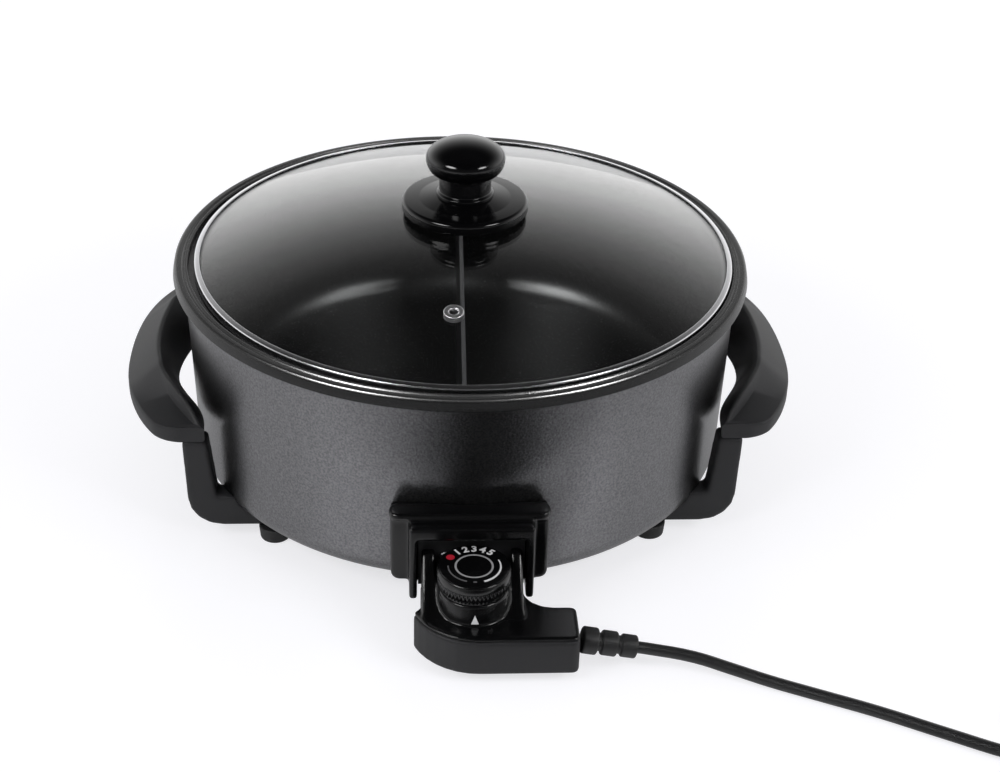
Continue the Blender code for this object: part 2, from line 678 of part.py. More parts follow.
def make_heater(root, steel, bright):
    """The element, its terminal pins, the clamps that hold it and the probe's tube."""
    tube("heating_element", element_path(), ELEMENT_RADIUS, steel, root, 1)
    quarter = (math.radians(90), 0, 0)
    for side, word in ((-1, "left"), (1, "right")):
        pin = turned([(0, 0), (PIN_RADIUS, 0), (PIN_RADIUS, PIN_LENGTH - PIN_RADIUS / 2),
                      (PIN_RADIUS / 2, PIN_LENGTH), (0, PIN_LENGTH)], TINY_STEPS)
        at = (side * TERMINAL_SPREAD, SHROUD_FACE_Y, ELEMENT_Z)
        add("terminal_pin_" + word, pin, bright, root, at, quarter)
    reach = TUBE_BACK_Y - SHROUD_FACE_Y
    probe_end = PROBE_RADIUS
    sleeve = turned([(0, 0), (ELEMENT_RADIUS, 0), (ELEMENT_RADIUS, reach), (TUBE_BORE, reach),
                     (TUBE_BORE, probe_end), (0, probe_end)], TINY_STEPS)
    add("probe_tube", sleeve, steel, root, (0, TUBE_BACK_Y, ELEMENT_Z), quarter)
    inner = ELEMENT_RADIUS + CLAMP_PLAY
    top = LINER_UNDERSIDE - GAP
    low = ELEMENT_Z - ELEMENT_RADIUS - GAP
    outline = [
        (-inner - CLAMP_FOOT, top), (-inner - CLAMP_FOOT, top - CLAMP_SHEET),
        (-inner - CLAMP_SHEET, top - CLAMP_SHEET), (-inner - CLAMP_SHEET, low - CLAMP_SHEET),
        (inner + CLAMP_SHEET, low - CLAMP_SHEET), (inner + CLAMP_SHEET, top - CLAMP_SHEET),
        (inner + CLAMP_FOOT, top - CLAMP_SHEET), (inner + CLAMP_FOOT, top),
        (inner, top), (inner, low), (-inner, low), (-inner, top),
    ]
    for word, degrees in (("right", 0), ("back", 90), ("left", 180)):
        clamp = prism(outline, -CLAMP_WIDTH / 2, CLAMP_WIDTH / 2, "y")
        angle = math.radians(degrees)
        at = (ELEMENT_RING * math.cos(angle), ELEMENT_RING * math.sin(angle), 0)
        add("element_clamp_" + word, clamp, steel, root, at, (0, 0, angle))


def handle_section(share):
    """One section of the right handle; share runs from -1 at the front to 1 at the back.

    The plate is flat over the legs. Between them a lip stands up along its
    inner edge, and its outer edge swings out into a wing. A crease parts the
    two, and it sinks below the lip towards the ends.
    """
    swell = (1 - abs(share) ** SWELL_POWER) ** SWELL_SHARE
    between_legs_share = 1 - LEG_DEPTH / HANDLE_HALF_LENGTH
    arch = (1 + math.cos(math.pi * min(1, abs(share) / between_legs_share))) / 2
    along = HANDLE_HALF_LENGTH * abs(share)
    past = max(0, along - HANDLE_LIP_HALF) / (HANDLE_HALF_LENGTH - HANDLE_LIP_HALF)

    def blend(end, middle, amount):
        return end + (middle - end) * amount

    level = math.sqrt(HANDLE_LIP_RADIUS ** 2 - min(along, HANDLE_LIP_HALF) ** 2)
    lip = (blend(HANDLE_END_IN, level, 1 - past ** LIP_TURN_POWER),
           HANDLE_END_TOP + HANDLE_LIP_RISE * (1 - past ** LIP_FALL_POWER))
    end_bottom = HANDLE_END_TOP - HANDLE_END_THICKNESS
    turned_in = max(0, 1 - (HANDLE_HALF_LENGTH - along) / HANDLE_END_CORNER)
    corner = HANDLE_END_CORNER * (1 - math.sqrt(1 - turned_in ** 2))
    wing = (blend(HANDLE_END_OUT, HANDLE_REACH, swell) - corner, blend(HANDLE_END_TOP, HANDLE_WING_TOP, arch))
    edge = (wing[0], blend(end_bottom, HANDLE_WING_TOP - HANDLE_WING_EDGE, arch))
    heel = (blend(HANDLE_END_IN, HANDLE_HEEL_OUT, arch), blend(end_bottom, HANDLE_HEEL_BOTTOM, arch))
    slope = (lip[1] - wing[1]) / (wing[0] - lip[0])
    sunk = HANDLE_END_TOP + HANDLE_LIP_RISE * (1 - past) ** CREASE_FALL_POWER
    crease = (lip[0] + HANDLE_CREASE_OUT, min(lip[1] - slope * HANDLE_CREASE_OUT, sunk))
    return rounded([(*lip, HANDLE_ROUND), (*heel, HANDLE_ROUND), (*edge, HANDLE_ROUND),
                    (*wing, HANDLE_ROUND), (*crease, 0)], 2)


def make_handle(root, word, side, plastic, steel):
    """One D-shaped handle, its two screws, its two legs and their feet."""
    sections = []
    for step in range(HANDLE_SECTIONS + 1):
        angle = math.pi * step / HANDLE_SECTIONS
        share = -math.cos(angle)
        y = HANDLE_HALF_LENGTH * share
        sections.append([(side * x, y, z) for x, z in handle_section(share)])
    handle = add("handle_" + word, lofted(sections), plastic, root)
    screw_x = side * (HANDLE_END_IN + LEG_OUT_TOP) / 2
    leg_top = HANDLE_END_TOP - HANDLE_END_THICKNESS - GAP
    for end, place in ((-1, "front"), (1, "rear")):
        name = place + "_" + word
        high = leg_top + HANDLE_SCREW_REACH + CUT
        hole = drum(LEG_SCREW_RADIUS + BORE_PLAY, leg_top - CUT, high, TINY_STEPS)
        cut(handle, tool("handle_hole_" + name, hole, (screw_x, end * LEG_Y, 0)))
        make_leg(root, name, side, end, screw_x, leg_top, plastic, steel)


def leg_outline(top):
    """The right leg seen from the front: post, knee and the bar under the pan."""
    bar_top = FOOT_HEIGHT + LEG_BAR_HEIGHT
    return rounded([
        (LEG_IN_TOP, top, 0), (LEG_IN_FOOT, bar_top, LEG_INNER_KNEE), (LEG_REACH_IN, bar_top, 0),
        (LEG_REACH_IN, FOOT_HEIGHT, 0), (LEG_OUT_FOOT, FOOT_HEIGHT, LEG_KNEE), (LEG_OUT_TOP, top, 0),
    ], 4)


def make_leg(root, name, side, end, screw_x, top, plastic, steel):
    """One leg, trimmed to the pan's underside, with its foot and screws."""
    outline = [(side * x, z) for x, z in leg_outline(top)]
    near = end * LEG_Y - LEG_DEPTH / 2
    leg = add("leg_" + name, prism(outline, near, near + LEG_DEPTH, "y"), plastic, root)
    ease(leg, LEG_EDGE)
    line = shell_line(GAP)
    belly = [(0, line[0][1])] + line + [(0, SHELL_BOTTOM - GAP)]
    cut(leg, tool("belly_" + name, turned(belly, PAN_STEPS)))
    low = FOOT_HEIGHT - GAP
    foot = turned([(0, 0), (FOOT_RADIUS - FOOT_ROUND, 0), (FOOT_RADIUS - FOOT_ROUND / 3, FOOT_ROUND / 2),
                   (FOOT_RADIUS, FOOT_ROUND), (FOOT_RADIUS, low), (0, low)])
    y = end * LEG_Y
    add("foot_" + name, foot, FINISHES["rubber"], root, (side * FOOT_X, end * (LEG_Y + FOOT_OUT), 0))

    head = FOOT_HEIGHT + LEG_SCREW_HEAD_HEIGHT + GAP
    recess = drum(LEG_SCREW_HEAD + BORE_PLAY, FOOT_HEIGHT - CUT, head + GAP, TINY_STEPS)
    cut(leg, tool("recess_" + name, recess, (side * LEG_SCREW_X, y, 0)))
    bore = drum(LEG_SCREW_RADIUS + BORE_PLAY, FOOT_HEIGHT, SHELL_BOTTOM, TINY_STEPS)
    cut(leg, tool("bore_" + name, bore, (side * LEG_SCREW_X, y, 0)))
    reach = SHELL_BOTTOM + SHELL_WALL + LEG_SCREW_TIP - head
    form = screw_form(LEG_SCREW_HEAD, LEG_SCREW_HEAD_HEIGHT, LEG_SCREW_RADIUS, reach)
    add("leg_screw_" + name, form, steel, root, (side * LEG_SCREW_X, y, FOOT_HEIGHT + GAP))

    bar_top = FOOT_HEIGHT + LEG_BAR_HEIGHT
    well = drum(LEG_SCREW_HEAD + BORE_PLAY, FOOT_HEIGHT - CUT, bar_top, TINY_STEPS)
    cut(leg, tool("well_" + name, well, (screw_x, y, 0)))
    shaft = drum(LEG_SCREW_RADIUS + BORE_PLAY, FOOT_HEIGHT, top + CUT, TINY_STEPS)
    cut(leg, tool("shaft_" + name, shaft, (screw_x, y, 0)))
    reach = top + HANDLE_SCREW_REACH - bar_top
    form = screw_form(LEG_SCREW_HEAD, LEG_SCREW_HEAD_HEIGHT, LEG_SCREW_RADIUS, reach)
    at = (screw_x, y, bar_top - LEG_SCREW_HEAD_HEIGHT - GAP)
    add("handle_screw_" + name, form, steel, root, at)


def make_shroud(root, plastic, dark, steel):
    """The socket shroud: back block, shelf and hood in one moulding, and its terminal plate."""
    outline = rounded([
        (-SHROUD_HALF_WIDTH, SHROUD_TOP, 0), (-SHROUD_HALF_WIDTH, SHROUD_BOTTOM, SHROUD_CORNER),
        (SHROUD_HALF_WIDTH, SHROUD_BOTTOM, SHROUD_CORNER), (SHROUD_HALF_WIDTH, SHROUD_TOP, 0),
    ])
    inner_y = -SHELL_FOOT_RADIUS + SHELL_CORNER
    shroud = add("socket_shroud", prism(outline, SHROUD_FACE_Y, inner_y, "y"), plastic, root)
    ease(shroud, EDGE_ROUND)

    reach = SHELF_REACH_Y
    plan = rounded([
        (-SHELF_HALF_WIDTH, SHELF_BACK_Y, SHROUD_CORNER), (-SHELF_HALF_WIDTH, reach, SHROUD_CORNER),
        (SHELF_HALF_WIDTH, reach, SHROUD_CORNER), (SHELF_HALF_WIDTH, SHELF_BACK_Y, SHROUD_CORNER),
    ])
    shelf = tool("shelf", prism(plan, SHROUD_TOP - SHELF_THICKNESS / 2, SHROUD_TOP + SHELF_THICKNESS / 2))
    ease(shelf, SHELF_ROUND, 3)
    fuse(shroud, shelf)

    left, right = NECK_X - HOOD_HALF_WIDTH, NECK_X + HOOD_HALF_WIDTH
    inner_left, inner_right = left + HOOD_WALL, right - HOOD_WALL
    arch = rounded([
        (left, HOOD_TOP, 0), (left, HOOD_BOTTOM, 0), (inner_left, HOOD_BOTTOM, 0),
        (inner_left, HOOD_CEILING, EDGE_ROUND), (inner_right, HOOD_CEILING, EDGE_ROUND),
        (inner_right, HOOD_BOTTOM, 0), (right, HOOD_BOTTOM, 0), (right, HOOD_TOP, 0),
    ], 2)
    hood = tool("hood", prism(arch, HOOD_FACE_Y, SHROUD_FACE_Y + SHROUD_CORNER, "y"))
    ease(hood, EDGE_ROUND / 2)
    fuse(shroud, hood)

    line = shell_line(SHROUD_CLEAR)
    wall = [(0, line[0][1])] + line + [(0, SHELL_BOTTOM)]
    cut(shroud, tool("shell_wall", turned(wall, PAN_STEPS)))

    low = (inner_left + NECK_PLAY, SHROUD_FACE_Y - GAP - TERMINAL_SHEET, TERMINAL_BOTTOM)
    high = (inner_right - NECK_PLAY, SHROUD_FACE_Y - GAP, TERMINAL_TOP)
    sheet = block(low, high)
    plate = add("terminal_plate", sheet, dark, root)
    quarter = (math.radians(90), 0, 0)
    start = -inner_y
    for name, x in (("left", -TERMINAL_SPREAD), ("middle", 0), ("right", TERMINAL_SPREAD)):
        bore = drum(ELEMENT_RADIUS + BORE_PLAY, start - CUT, -NECK_FACE_Y + CUT, TINY_STEPS)
        hole = tool("bore_" + name, bore, (x, 0, ELEMENT_Z), quarter)
        cut(shroud, hole)
        cut(plate, hole)
    head = SHROUD_SCREW_HEAD_HEIGHT
    face = SHROUD_FACE_Y - 2 * GAP - TERMINAL_SHEET
    for name, side in (("left", -1), ("right", 1)):
        at = (side * SHROUD_SCREW_X, 0, SHROUD_SCREW_Z)
        bore = drum(SHROUD_SCREW_RADIUS + BORE_PLAY, start - CUT, -NECK_FACE_Y + CUT, TINY_STEPS)
        hole = tool("screw_bore_" + name, bore, at, quarter)
        cut(shroud, hole)
        cut(plate, hole)
        reach = -SHELL_FOOT_RADIUS + SHELL_CORNER / 2 - face
        form = screw_form(SHROUD_SCREW_HEAD, head, SHROUD_SCREW_RADIUS, reach)
        place = (side * SHROUD_SCREW_X, face - head, SHROUD_SCREW_Z)
        add("shroud_screw_" + name, form, steel, root, place, (math.radians(-90), 0, 0))


def make_lid(lid, glass_look, bright, black, dark):
    """The domed glass, its steel band, the vent and the knob with its screw."""
    edge = GLASS_RADIUS
    bore = KNOB_SCREW_RADIUS + BORE_PLAY
    vent_from = math.hypot(VENT_X, VENT_Y)
    radii = [edge * GLASS_RING_SHARES[0], vent_from + VENT_RADIUS, vent_from - VENT_RADIUS,
             edge * GLASS_RING_SHARES[1], WASHER_RADIUS, bore]
    under = [(edge, GLASS_BOTTOM)] + [(radius, dome(radius)) for radius in radii]
    profile = under + [(radius, height + GLASS_THICKNESS) for radius, height in reversed(under)]
    middle = (LID_SHIFT, 0, 0)
    glass = add("lid_glass", turned(profile, PAN_STEPS), glass_look, lid, middle)
    tilt = math.atan(2 * DOME_RISE * vent_from / GLASS_RADIUS ** 2)
    towards = math.atan2(VENT_Y, VENT_X)
    turn = (0, tilt, towards)
    vent_at = (LID_SHIFT + VENT_X, VENT_Y, dome(vent_from))
    hole = drum(VENT_BARREL + BORE_PLAY, -GLASS_THICKNESS, 2 * GLASS_THICKNESS, TINY_STEPS)
    cut(glass, tool("vent_hole", hole, vent_at, turn))
    upper = GLASS_THICKNESS + GAP
    eyelet = turned([
        (VENT_BORE, -GAP - VENT_SHEET), (VENT_RADIUS, -GAP - VENT_SHEET), (VENT_RADIUS, -GAP),
        (VENT_BARREL, -GAP), (VENT_BARREL, upper), (VENT_RADIUS, upper),
        (VENT_RADIUS - VENT_SHEET, upper + VENT_SHEET), (VENT_BORE + VENT_SHEET, upper + VENT_SHEET),
        (VENT_BORE, upper),
    ])
    add("vent_eyelet", eyelet, bright, lid, vent_at, turn)

    low, high = SEAT, SEAT + BAND_DEPTH
    lip = LID_RADIUS - BAND_LIP
    slot_low = GLASS_BOTTOM - GAP
    slot_high = GLASS_BOTTOM + GLASS_THICKNESS + DOME_RISE * (1 - (lip / GLASS_RADIUS) ** 2) + GAP
    band = [(lip, slot_low), (lip, low), (LID_RADIUS, low), (LID_RADIUS, high - BAND_SHEET),
            (LID_RADIUS - BAND_SHEET, high), (lip, slot_high + BAND_SHEET), (lip, slot_high),
            (LID_RADIUS - BAND_SHEET, slot_high), (LID_RADIUS - BAND_SHEET, slot_low)]
    add("lid_band", turned(band, PAN_STEPS), bright, lid, middle)

    rest = DOME_TOP + GAP
    seam = rest + FLANGE_EDGE + FLANGE_RISE
    round_edge = KNOB_EDGE
    slope_in = NECK_RADIUS + round_edge
    half_way = (FLANGE_RADIUS + slope_in) / 2
    flange = [
        (bore, rest), (FLANGE_RADIUS - round_edge, rest), (FLANGE_RADIUS, rest + round_edge),
        (FLANGE_RADIUS, rest + FLANGE_EDGE - round_edge),
        (FLANGE_RADIUS - round_edge, rest + FLANGE_EDGE),
        (half_way, rest + FLANGE_EDGE + FLANGE_RISE * FLANGE_DISH_SHARE), (slope_in, seam), (bore, seam),
    ]
    add("knob_flange", turned(flange, KNOB_STEPS), black, lid, middle)

    base = seam + GAP
    waist = base + NECK_HEIGHT
    widest = base + KNOB_WIDEST
    top = base + KNOB_HEIGHT
    screw_top = base + KNOB_SCREW_REACH
    knob = [(0, screw_top), (bore, screw_top), (bore, base), (slope_in, base),
            (slope_in, base + round_edge), (NECK_RADIUS, base + 2 * round_edge), (NECK_RADIUS, waist)]
    knob += [(NECK_RADIUS + (KNOB_RADIUS - NECK_RADIUS) * math.sin(math.radians(a)),
              widest - (widest - waist) * math.cos(math.radians(a))) for a in (25, 50, 72)]
    knob += [(KNOB_RADIUS * math.cos(math.radians(a)), widest + (top - widest) * math.sin(math.radians(a)))
             for a in (0, 18, 36, 54, 72)]
    add("lid_knob", turned(knob + [(0, top)], KNOB_STEPS), black, lid, middle)

    under_middle = dome(WASHER_RADIUS) - GAP
    washer_low = under_middle - WASHER_THICKNESS
    washer = [(bore, washer_low), (WASHER_RADIUS, washer_low), (WASHER_RADIUS, under_middle),
              (bore, under_middle)]
    add("knob_washer", turned(washer), dark, lid, middle)
    head = washer_low - GAP - SCREW_HEAD_HEIGHT
    reach = screw_top - GAP - head - SCREW_HEAD_HEIGHT
    form = screw_form(SCREW_HEAD_RADIUS, SCREW_HEAD_HEIGHT, KNOB_SCREW_RADIUS, reach)
    add("knob_screw", form, bright, lid, (LID_SHIFT, 0, head))


def make_divider(divider, metal):
    """The plate that parts the pan in two, cut to the liner's inner profile."""
    top = LEDGE - DIVIDER_HEADROOM
    line = liner_line(-DIVIDER_PLAY)[1:-1]
    low_radius = line[-1][0]
    foot = LINER_FLOOR + LINER_CORNER
    flare = (LINER_TOP_RADIUS - LINER_FOOT_RADIUS) * (top - foot) / (LEDGE - foot)
    right = line + [(low_radius + flare, top)]
    outline = right + [(-radius, height) for radius, height in reversed(right)]
    half = DIVIDER_THICKNESS / 2
    turn = (0, 0, math.radians(DIVIDER_TURN_DEGREES))
    plate = add("divider_plate", prism(outline, -half, half, "x"), metal, divider, turn=turn)
    ease(plate, half / 3)


def control_outline():
    """Plan of the control seen from above, counter-clockwise from the back of its neck."""
    neck_left = NECK_X - NECK_HALF_WIDTH
    neck_right = NECK_X + NECK_HALF_WIDTH
    front = -CONTROL_REACH
    bend = (neck_right + ARM_FILLET, ARM_BACK_Y + ARM_FILLET)
    arm = rounded([(bend[0], ARM_BACK_Y, 0), (ARM_END, ARM_BACK_Y, ARM_CORNER),
                   (ARM_END, front, ARM_CORNER), (NOSE_X, front, 0)])
    cheek = 360 - math.degrees(math.acos(-CHEEK_SHARE))
    points = [(neck_left, NECK_FACE_Y), (neck_right, NECK_FACE_Y)]
    points += arc(bend, ARM_FILLET, 180, 270, 4)
    points += arm[1:-1]
    points += arc((NOSE_X, front + NOSE_RADIUS), NOSE_RADIUS, 270, cheek, 7)
    points += [(neck_left, CHEEK_FLARE_Y)]
    return points


def make_control(control, gloss, matte, steel, bright, dark):
    """The plug-in control: two housings, probe, contact sleeves, thermostat and screws."""
    lower_form = prism(control_outline(), CONTROL_BOTTOM, CONTROL_SEAM)
    lower = add("control_lower_housing", lower_form, matte, control)
    ease(lower, CONTROL_FOOT_EDGE)
    chamber = drum(CHAMBER_RADIUS, CHAMBER_FLOOR, CHAMBER_ROOF, KNOB_STEPS)
    hollow = tool("chamber", chamber, (DIAL_X, DIAL_Y, 0))
    cut(lower, hollow)

    seat = CONTROL_SEAM + GAP
    cap_top = seat + CONTROL_CAP
    upper = add("control_upper_housing", prism(control_outline(), seat, cap_top), gloss, control)
    ease(upper, CONTROL_EDGE, 2)
    half = NECK_HALF_WIDTH - GAP
    side = [(NECK_FACE_Y - GAP, seat + GAP), (NECK_FACE_Y - GAP, SHOULDER_TOP)]
    for step in range(SHOULDER_STEPS + 1):
        share = step / SHOULDER_STEPS
        side.append((SHOULDER_BACK_Y + (SHOULDER_TOE_Y - SHOULDER_BACK_Y) * share,
                     cap_top + (SHOULDER_TOP - cap_top) * (1 - share) ** SHOULDER_POWER))
    side.append((SHOULDER_TOE_Y, seat + GAP))
    shoulder = tool("shoulder", prism(side, NECK_X - half, NECK_X + half, "x"))
    ease(shoulder, SHOULDER_ROUND, 3)
    fuse(upper, shoulder)
    collar = turned([(0, seat + GAP), (COLLAR_RADIUS + COLLAR_TAPER, seat + GAP), (COLLAR_RADIUS, COLLAR_TOP),
                     (COLLAR_RADIUS, COLLAR_TOP + CUT), (0, COLLAR_TOP + CUT)], KNOB_STEPS)
    fuse(upper, tool("collar", collar, (DIAL_X, DIAL_Y, 0)))
    clear = DIAL_RADIUS + NECK_PLAY
    room = arc((0, 0), clear, 180, 360, KNOB_STEPS // 2)
    room += [(clear, NECK_FACE_Y + CUT - DIAL_Y), (-clear, NECK_FACE_Y + CUT - DIAL_Y)]
    dial_room = prism(room, COLLAR_TOP, SHOULDER_TOP + CUT)
    cut(upper, tool("dial_room", dial_room, (DIAL_X, DIAL_Y, 0)))
    cut(upper, hollow)
    shaft_hole = drum(SHAFT_RADIUS + BORE_PLAY, CHAMBER_ROOF - CUT, DIAL_TOP)
    cut(upper, tool("shaft_hole", shaft_hole, (DIAL_X, DIAL_Y, 0)))

    quarter = (math.radians(90), 0, 0)
    deep = -NECK_FACE_Y + PIN_LENGTH
    forward = (math.radians(-90), 0, 0)
    floor = SLEEVE_RADIUS - SLEEVE_BORE
    for word, x in (("left", -TERMINAL_SPREAD), ("right", TERMINAL_SPREAD)):
        bore = drum(SLEEVE_RADIUS + BORE_PLAY, -NECK_FACE_Y - CUT, deep, TINY_STEPS)
        cut(upper, tool("sleeve_bore_" + word, bore, (x, 0, ELEMENT_Z), quarter))
        length = deep + NECK_FACE_Y - GAP
        sleeve = turned([(0, 0), (SLEEVE_RADIUS, 0), (SLEEVE_RADIUS, length), (SLEEVE_BORE, length),
                         (SLEEVE_BORE, floor), (0, floor)], TINY_STEPS)
        add("contact_sleeve_" + word, sleeve, bright, control, (x, -deep + GAP, ELEMENT_Z), forward)
    probe_bore = drum(PROBE_RADIUS + BORE_PLAY, -NECK_FACE_Y - CUT, -DIAL_Y, TINY_STEPS)
    cut(upper, tool("probe_bore", probe_bore, (0, 0, ELEMENT_Z), quarter))

    front = DIAL_Y - THERMOSTAT_WIDTH / 2
    rear = DIAL_Y + THERMOSTAT_WIDTH / 2
    left = DIAL_X - THERMOSTAT_LENGTH / 2
    right = DIAL_X + THERMOSTAT_LENGTH / 2
    corner = THERMOSTAT_ROUND
    body = rounded([(left, front, corner), (right, front, corner),
                    (right, rear, corner), (left, rear, corner)], 1)
    add("thermostat", prism(body, CHAMBER_FLOOR + GAP, THERMOSTAT_TOP), dark, control)
    length = PROBE_BACK_Y - rear - GAP
    rod = turned([(0, 0), (PROBE_RADIUS, 0), (PROBE_RADIUS, length - PROBE_RADIUS),
                  (PROBE_RADIUS / 2, length), (0, length)], TINY_STEPS)
    add("probe", rod, steel, control, (0, rear + GAP, ELEMENT_Z), forward)

    screws = ((ARM_SCREW_X, SHROUD_FACE_Y - ARM_SCREW_AHEAD),
              (NECK_SCREW_X, SHROUD_FACE_Y - NECK_SCREW_AHEAD))
    for number, (x, y) in enumerate(screws, 1):
        head = CONTROL_BOTTOM + GAP
        shelf = head + CONTROL_SCREW_HEAD_HEIGHT + GAP
        recess = drum(CONTROL_SCREW_HEAD + BORE_PLAY, CONTROL_BOTTOM - CUT, shelf, TINY_STEPS)
        cut(lower, tool("head_recess_%d" % number, recess, (x, y, 0)))
        tip = cap_top - CONTROL_SCREW_TIP
        hole = drum(CONTROL_SCREW_RADIUS + BORE_PLAY, CONTROL_BOTTOM, tip + GAP, TINY_STEPS)
        bore = tool("screw_way_%d" % number, hole, (x, y, 0))
        cut(lower, bore)
        cut(upper, bore)
        reach = tip - head - CONTROL_SCREW_HEAD_HEIGHT
        form = screw_form(CONTROL_SCREW_HEAD, CONTROL_SCREW_HEAD_HEIGHT, CONTROL_SCREW_RADIUS, reach)
        add("control_screw_%d" % number, form, steel, control, (x, y, head))


def dial_ring(radius, height, depth):
    """One fluted ring of the dial: each flute takes four points."""
    ring = []
    for step in range(2 * DIAL_FLUTES):
        angle = math.tau * step / (2 * DIAL_FLUTES)
        reach = radius - depth * (step % 2)
        ring.append((reach * math.cos(angle), reach * math.sin(angle), height))
    return ring


def make_dial(control, dial, gloss, bright):
    """The fluted dial on its shaft, which turns on the collar."""
    low = COLLAR_TOP + GAP
    tier = low + DIAL_TIER
    sections = [
        dial_ring(DIAL_TIER_RADIUS, low, 0), dial_ring(DIAL_TIER_RADIUS, tier, 0),
        dial_ring(DIAL_RADIUS - DIAL_FLUTE, tier, DIAL_FLUTE),
        dial_ring(DIAL_RADIUS, tier + DIAL_BEVEL, DIAL_FLUTE),
        dial_ring(DIAL_RADIUS, DIAL_TOP - DIAL_BEVEL, DIAL_FLUTE),
        dial_ring(DIAL_RADIUS - DIAL_BEVEL, DIAL_TOP, 0),
    ]
    cap = add("dial", lofted(sections), gloss, dial, (DIAL_X, DIAL_Y, 0))
    bore = drum(SHAFT_RADIUS + BORE_PLAY, low - CUT, SHAFT_TOP + GAP)
    cut(cap, tool("dial_bore", bore, (DIAL_X, DIAL_Y, 0)))
    low = THERMOSTAT_TOP + GAP
    flat = [(SHAFT_RADIUS * math.cos(math.tau * step / SMALL_STEPS),
             min(SHAFT_RADIUS * math.sin(math.tau * step / SMALL_STEPS), SHAFT_RADIUS / 2))
            for step in range(SMALL_STEPS)]
    add("dial_shaft", prism(flat, low, SHAFT_TOP), bright, dial, (DIAL_X, DIAL_Y, 0))


def smooth(points, spacing):
    """Even points along a smooth curve; the first and last points only steer it."""
    rail = [Vector(point) for point in points]
    fine = []
    for a, b, c, d in zip(rail, rail[1:], rail[2:], rail[3:]):
        for step in range(20):
            t = step / 20
            fine.append(0.5 * (2 * b + (c - a) * t + (2 * a - 5 * b + 4 * c - d) * t ** 2
                               + (3 * b - a - 3 * c + d) * t ** 3))
    fine.append(rail[-2])
    total = sum((second - first).length for first, second in zip(fine, fine[1:]))
    count = max(2, round(total / spacing))
    even = [fine[0]]
    travelled = 0
    wanted = total / count
    for first, second in zip(fine, fine[1:]):
        length = (second - first).length
        while travelled + length >= wanted - 1e-9 and len(even) < count:
            even.append(first.lerp(second, (wanted - travelled) / length))
            wanted += total / count
        travelled += length
    even.append(fine[-1])
    return even, total


def led(start, leaving, middle, end, arriving):
    """A cord's route with a straight diameter at each end, and its length."""
    lead = 2 * CORD_RADIUS
    steered = [start, start + leaving * lead] + [Vector(point) for point in middle]
    steered += [end - arriving * lead, end]
    points, length = smooth(steered, 5 * CORD_RADIUS)
    return [start] + points + [end], length + 2 * lead


def coil_points():
    """The coil: two turns in, a climb of one layer, two turns out."""
    points = []
    steps = COIL_TURNS * COIL_STEPS
    for step in range(steps + 1):
        turn = step / COIL_STEPS
        middle = COIL_TURNS / 2
        inward = middle - abs(turn - middle)
        radius = COIL_RADIUS - COIL_PITCH * inward
        climb = min(max((turn - middle) * 2 + 0.5, 0), 1)
        climb = climb * climb * (3 - 2 * climb)
        angle = math.radians(COIL_ENTRY_DEGREES) + math.tau * turn
        points.append((COIL_X + radius * math.cos(angle), COIL_Y + radius * math.sin(angle),
                       COIL_FLOOR + COIL_LAYER * climb))
    way = coil_heading() * 2 * CORD_RADIUS
    return [tuple(Vector(points[0]) - way)] + points + [tuple(Vector(points[-1]) + way)]


def coil_heading():
    """The way the cord runs where it meets the coil, at both of the coil's ends."""
    angle = math.radians(COIL_ENTRY_DEGREES + 90)
    return Vector((math.cos(angle), math.sin(angle), 0))


def least_gap(points, radius, skip):
    """The smallest gap between turns of a tube, skipping points along the same turn."""
    least = None
    for index, first in enumerate(points):
        for second in points[index + skip:]:
            gap = (Vector(first) - Vector(second)).length - 2 * radius
            if least is None or gap < least:
                least = gap
    return least


def relief_form():
    """The strain relief: ribs with grooves between, thinner towards the cord."""
    profile = [(0, 0)]
    along = 0.0
    for rib in range(RELIEF_RIBS):
        share = rib / (RELIEF_RIBS - 1)
        radius = RELIEF_RADIUS + (RELIEF_TIP_RADIUS - RELIEF_RADIUS) * share
        profile += [(radius - RELIEF_ROUND, along), (radius, along + RELIEF_ROUND),
                    (radius, along + RELIEF_RIB - RELIEF_ROUND), (radius - RELIEF_ROUND, along + RELIEF_RIB)]
        along += RELIEF_RIB
        if rib < RELIEF_RIBS - 1:
            profile += [(RELIEF_CORE, along), (RELIEF_CORE, along + RELIEF_GROOVE)]
            along += RELIEF_GROOVE
    return turned(profile + [(0, along)], SMALL_STEPS), along


def make_cord(control, rubber, pvc, bright):
    """Strain relief, cord, coil, tie and mains plug."""
    droop = math.radians(RELIEF_DROOP_DEGREES)
    heading = Vector((math.cos(droop), 0, -math.sin(droop)))
    clear = ARM_END + GAP + RELIEF_RADIUS * math.sin(droop)
    root_at = Vector((clear, (ARM_BACK_Y - CONTROL_REACH) / 2, RELIEF_Z))
    form, length = relief_form()
    add("strain_relief", form, rubber, control, root_at, (0, math.radians(90) + droop, 0))
    start = root_at + heading * (length + GAP)
    coil = coil_points()
    into = coil_heading()
    points, cord_length = led(start, heading, CORD_ROUTE, Vector(coil[0]) - into * GAP, into)
    tube("power_cord", points, CORD_RADIUS, pvc, control, 2)
    tube("cord_coil", coil, CORD_RADIUS, pvc, control, 1)
    coil_length = sum((Vector(b) - Vector(a)).length for a, b in zip(coil, coil[1:]))

    plug_at = Vector(PLUG_AT)
    towards = Vector(PLUG_TOWARDS).normalized()
    leaving = Vector(coil[-1]) + into * GAP
    points, tail_length = led(leaving, into, TAIL_ROUTE, plug_at - towards * GAP, towards)
    tube("cord_tail", points, CORD_RADIUS, pvc, control, 2)
    print("cord length", round(cord_length + coil_length + tail_length, 4))
    print("coil least gap to itself", round(least_gap(coil, CORD_RADIUS, COIL_STEPS // 2), 5))
    make_tie(control, coil, rubber)
    make_plug(control, plug_at, towards, rubber, bright)


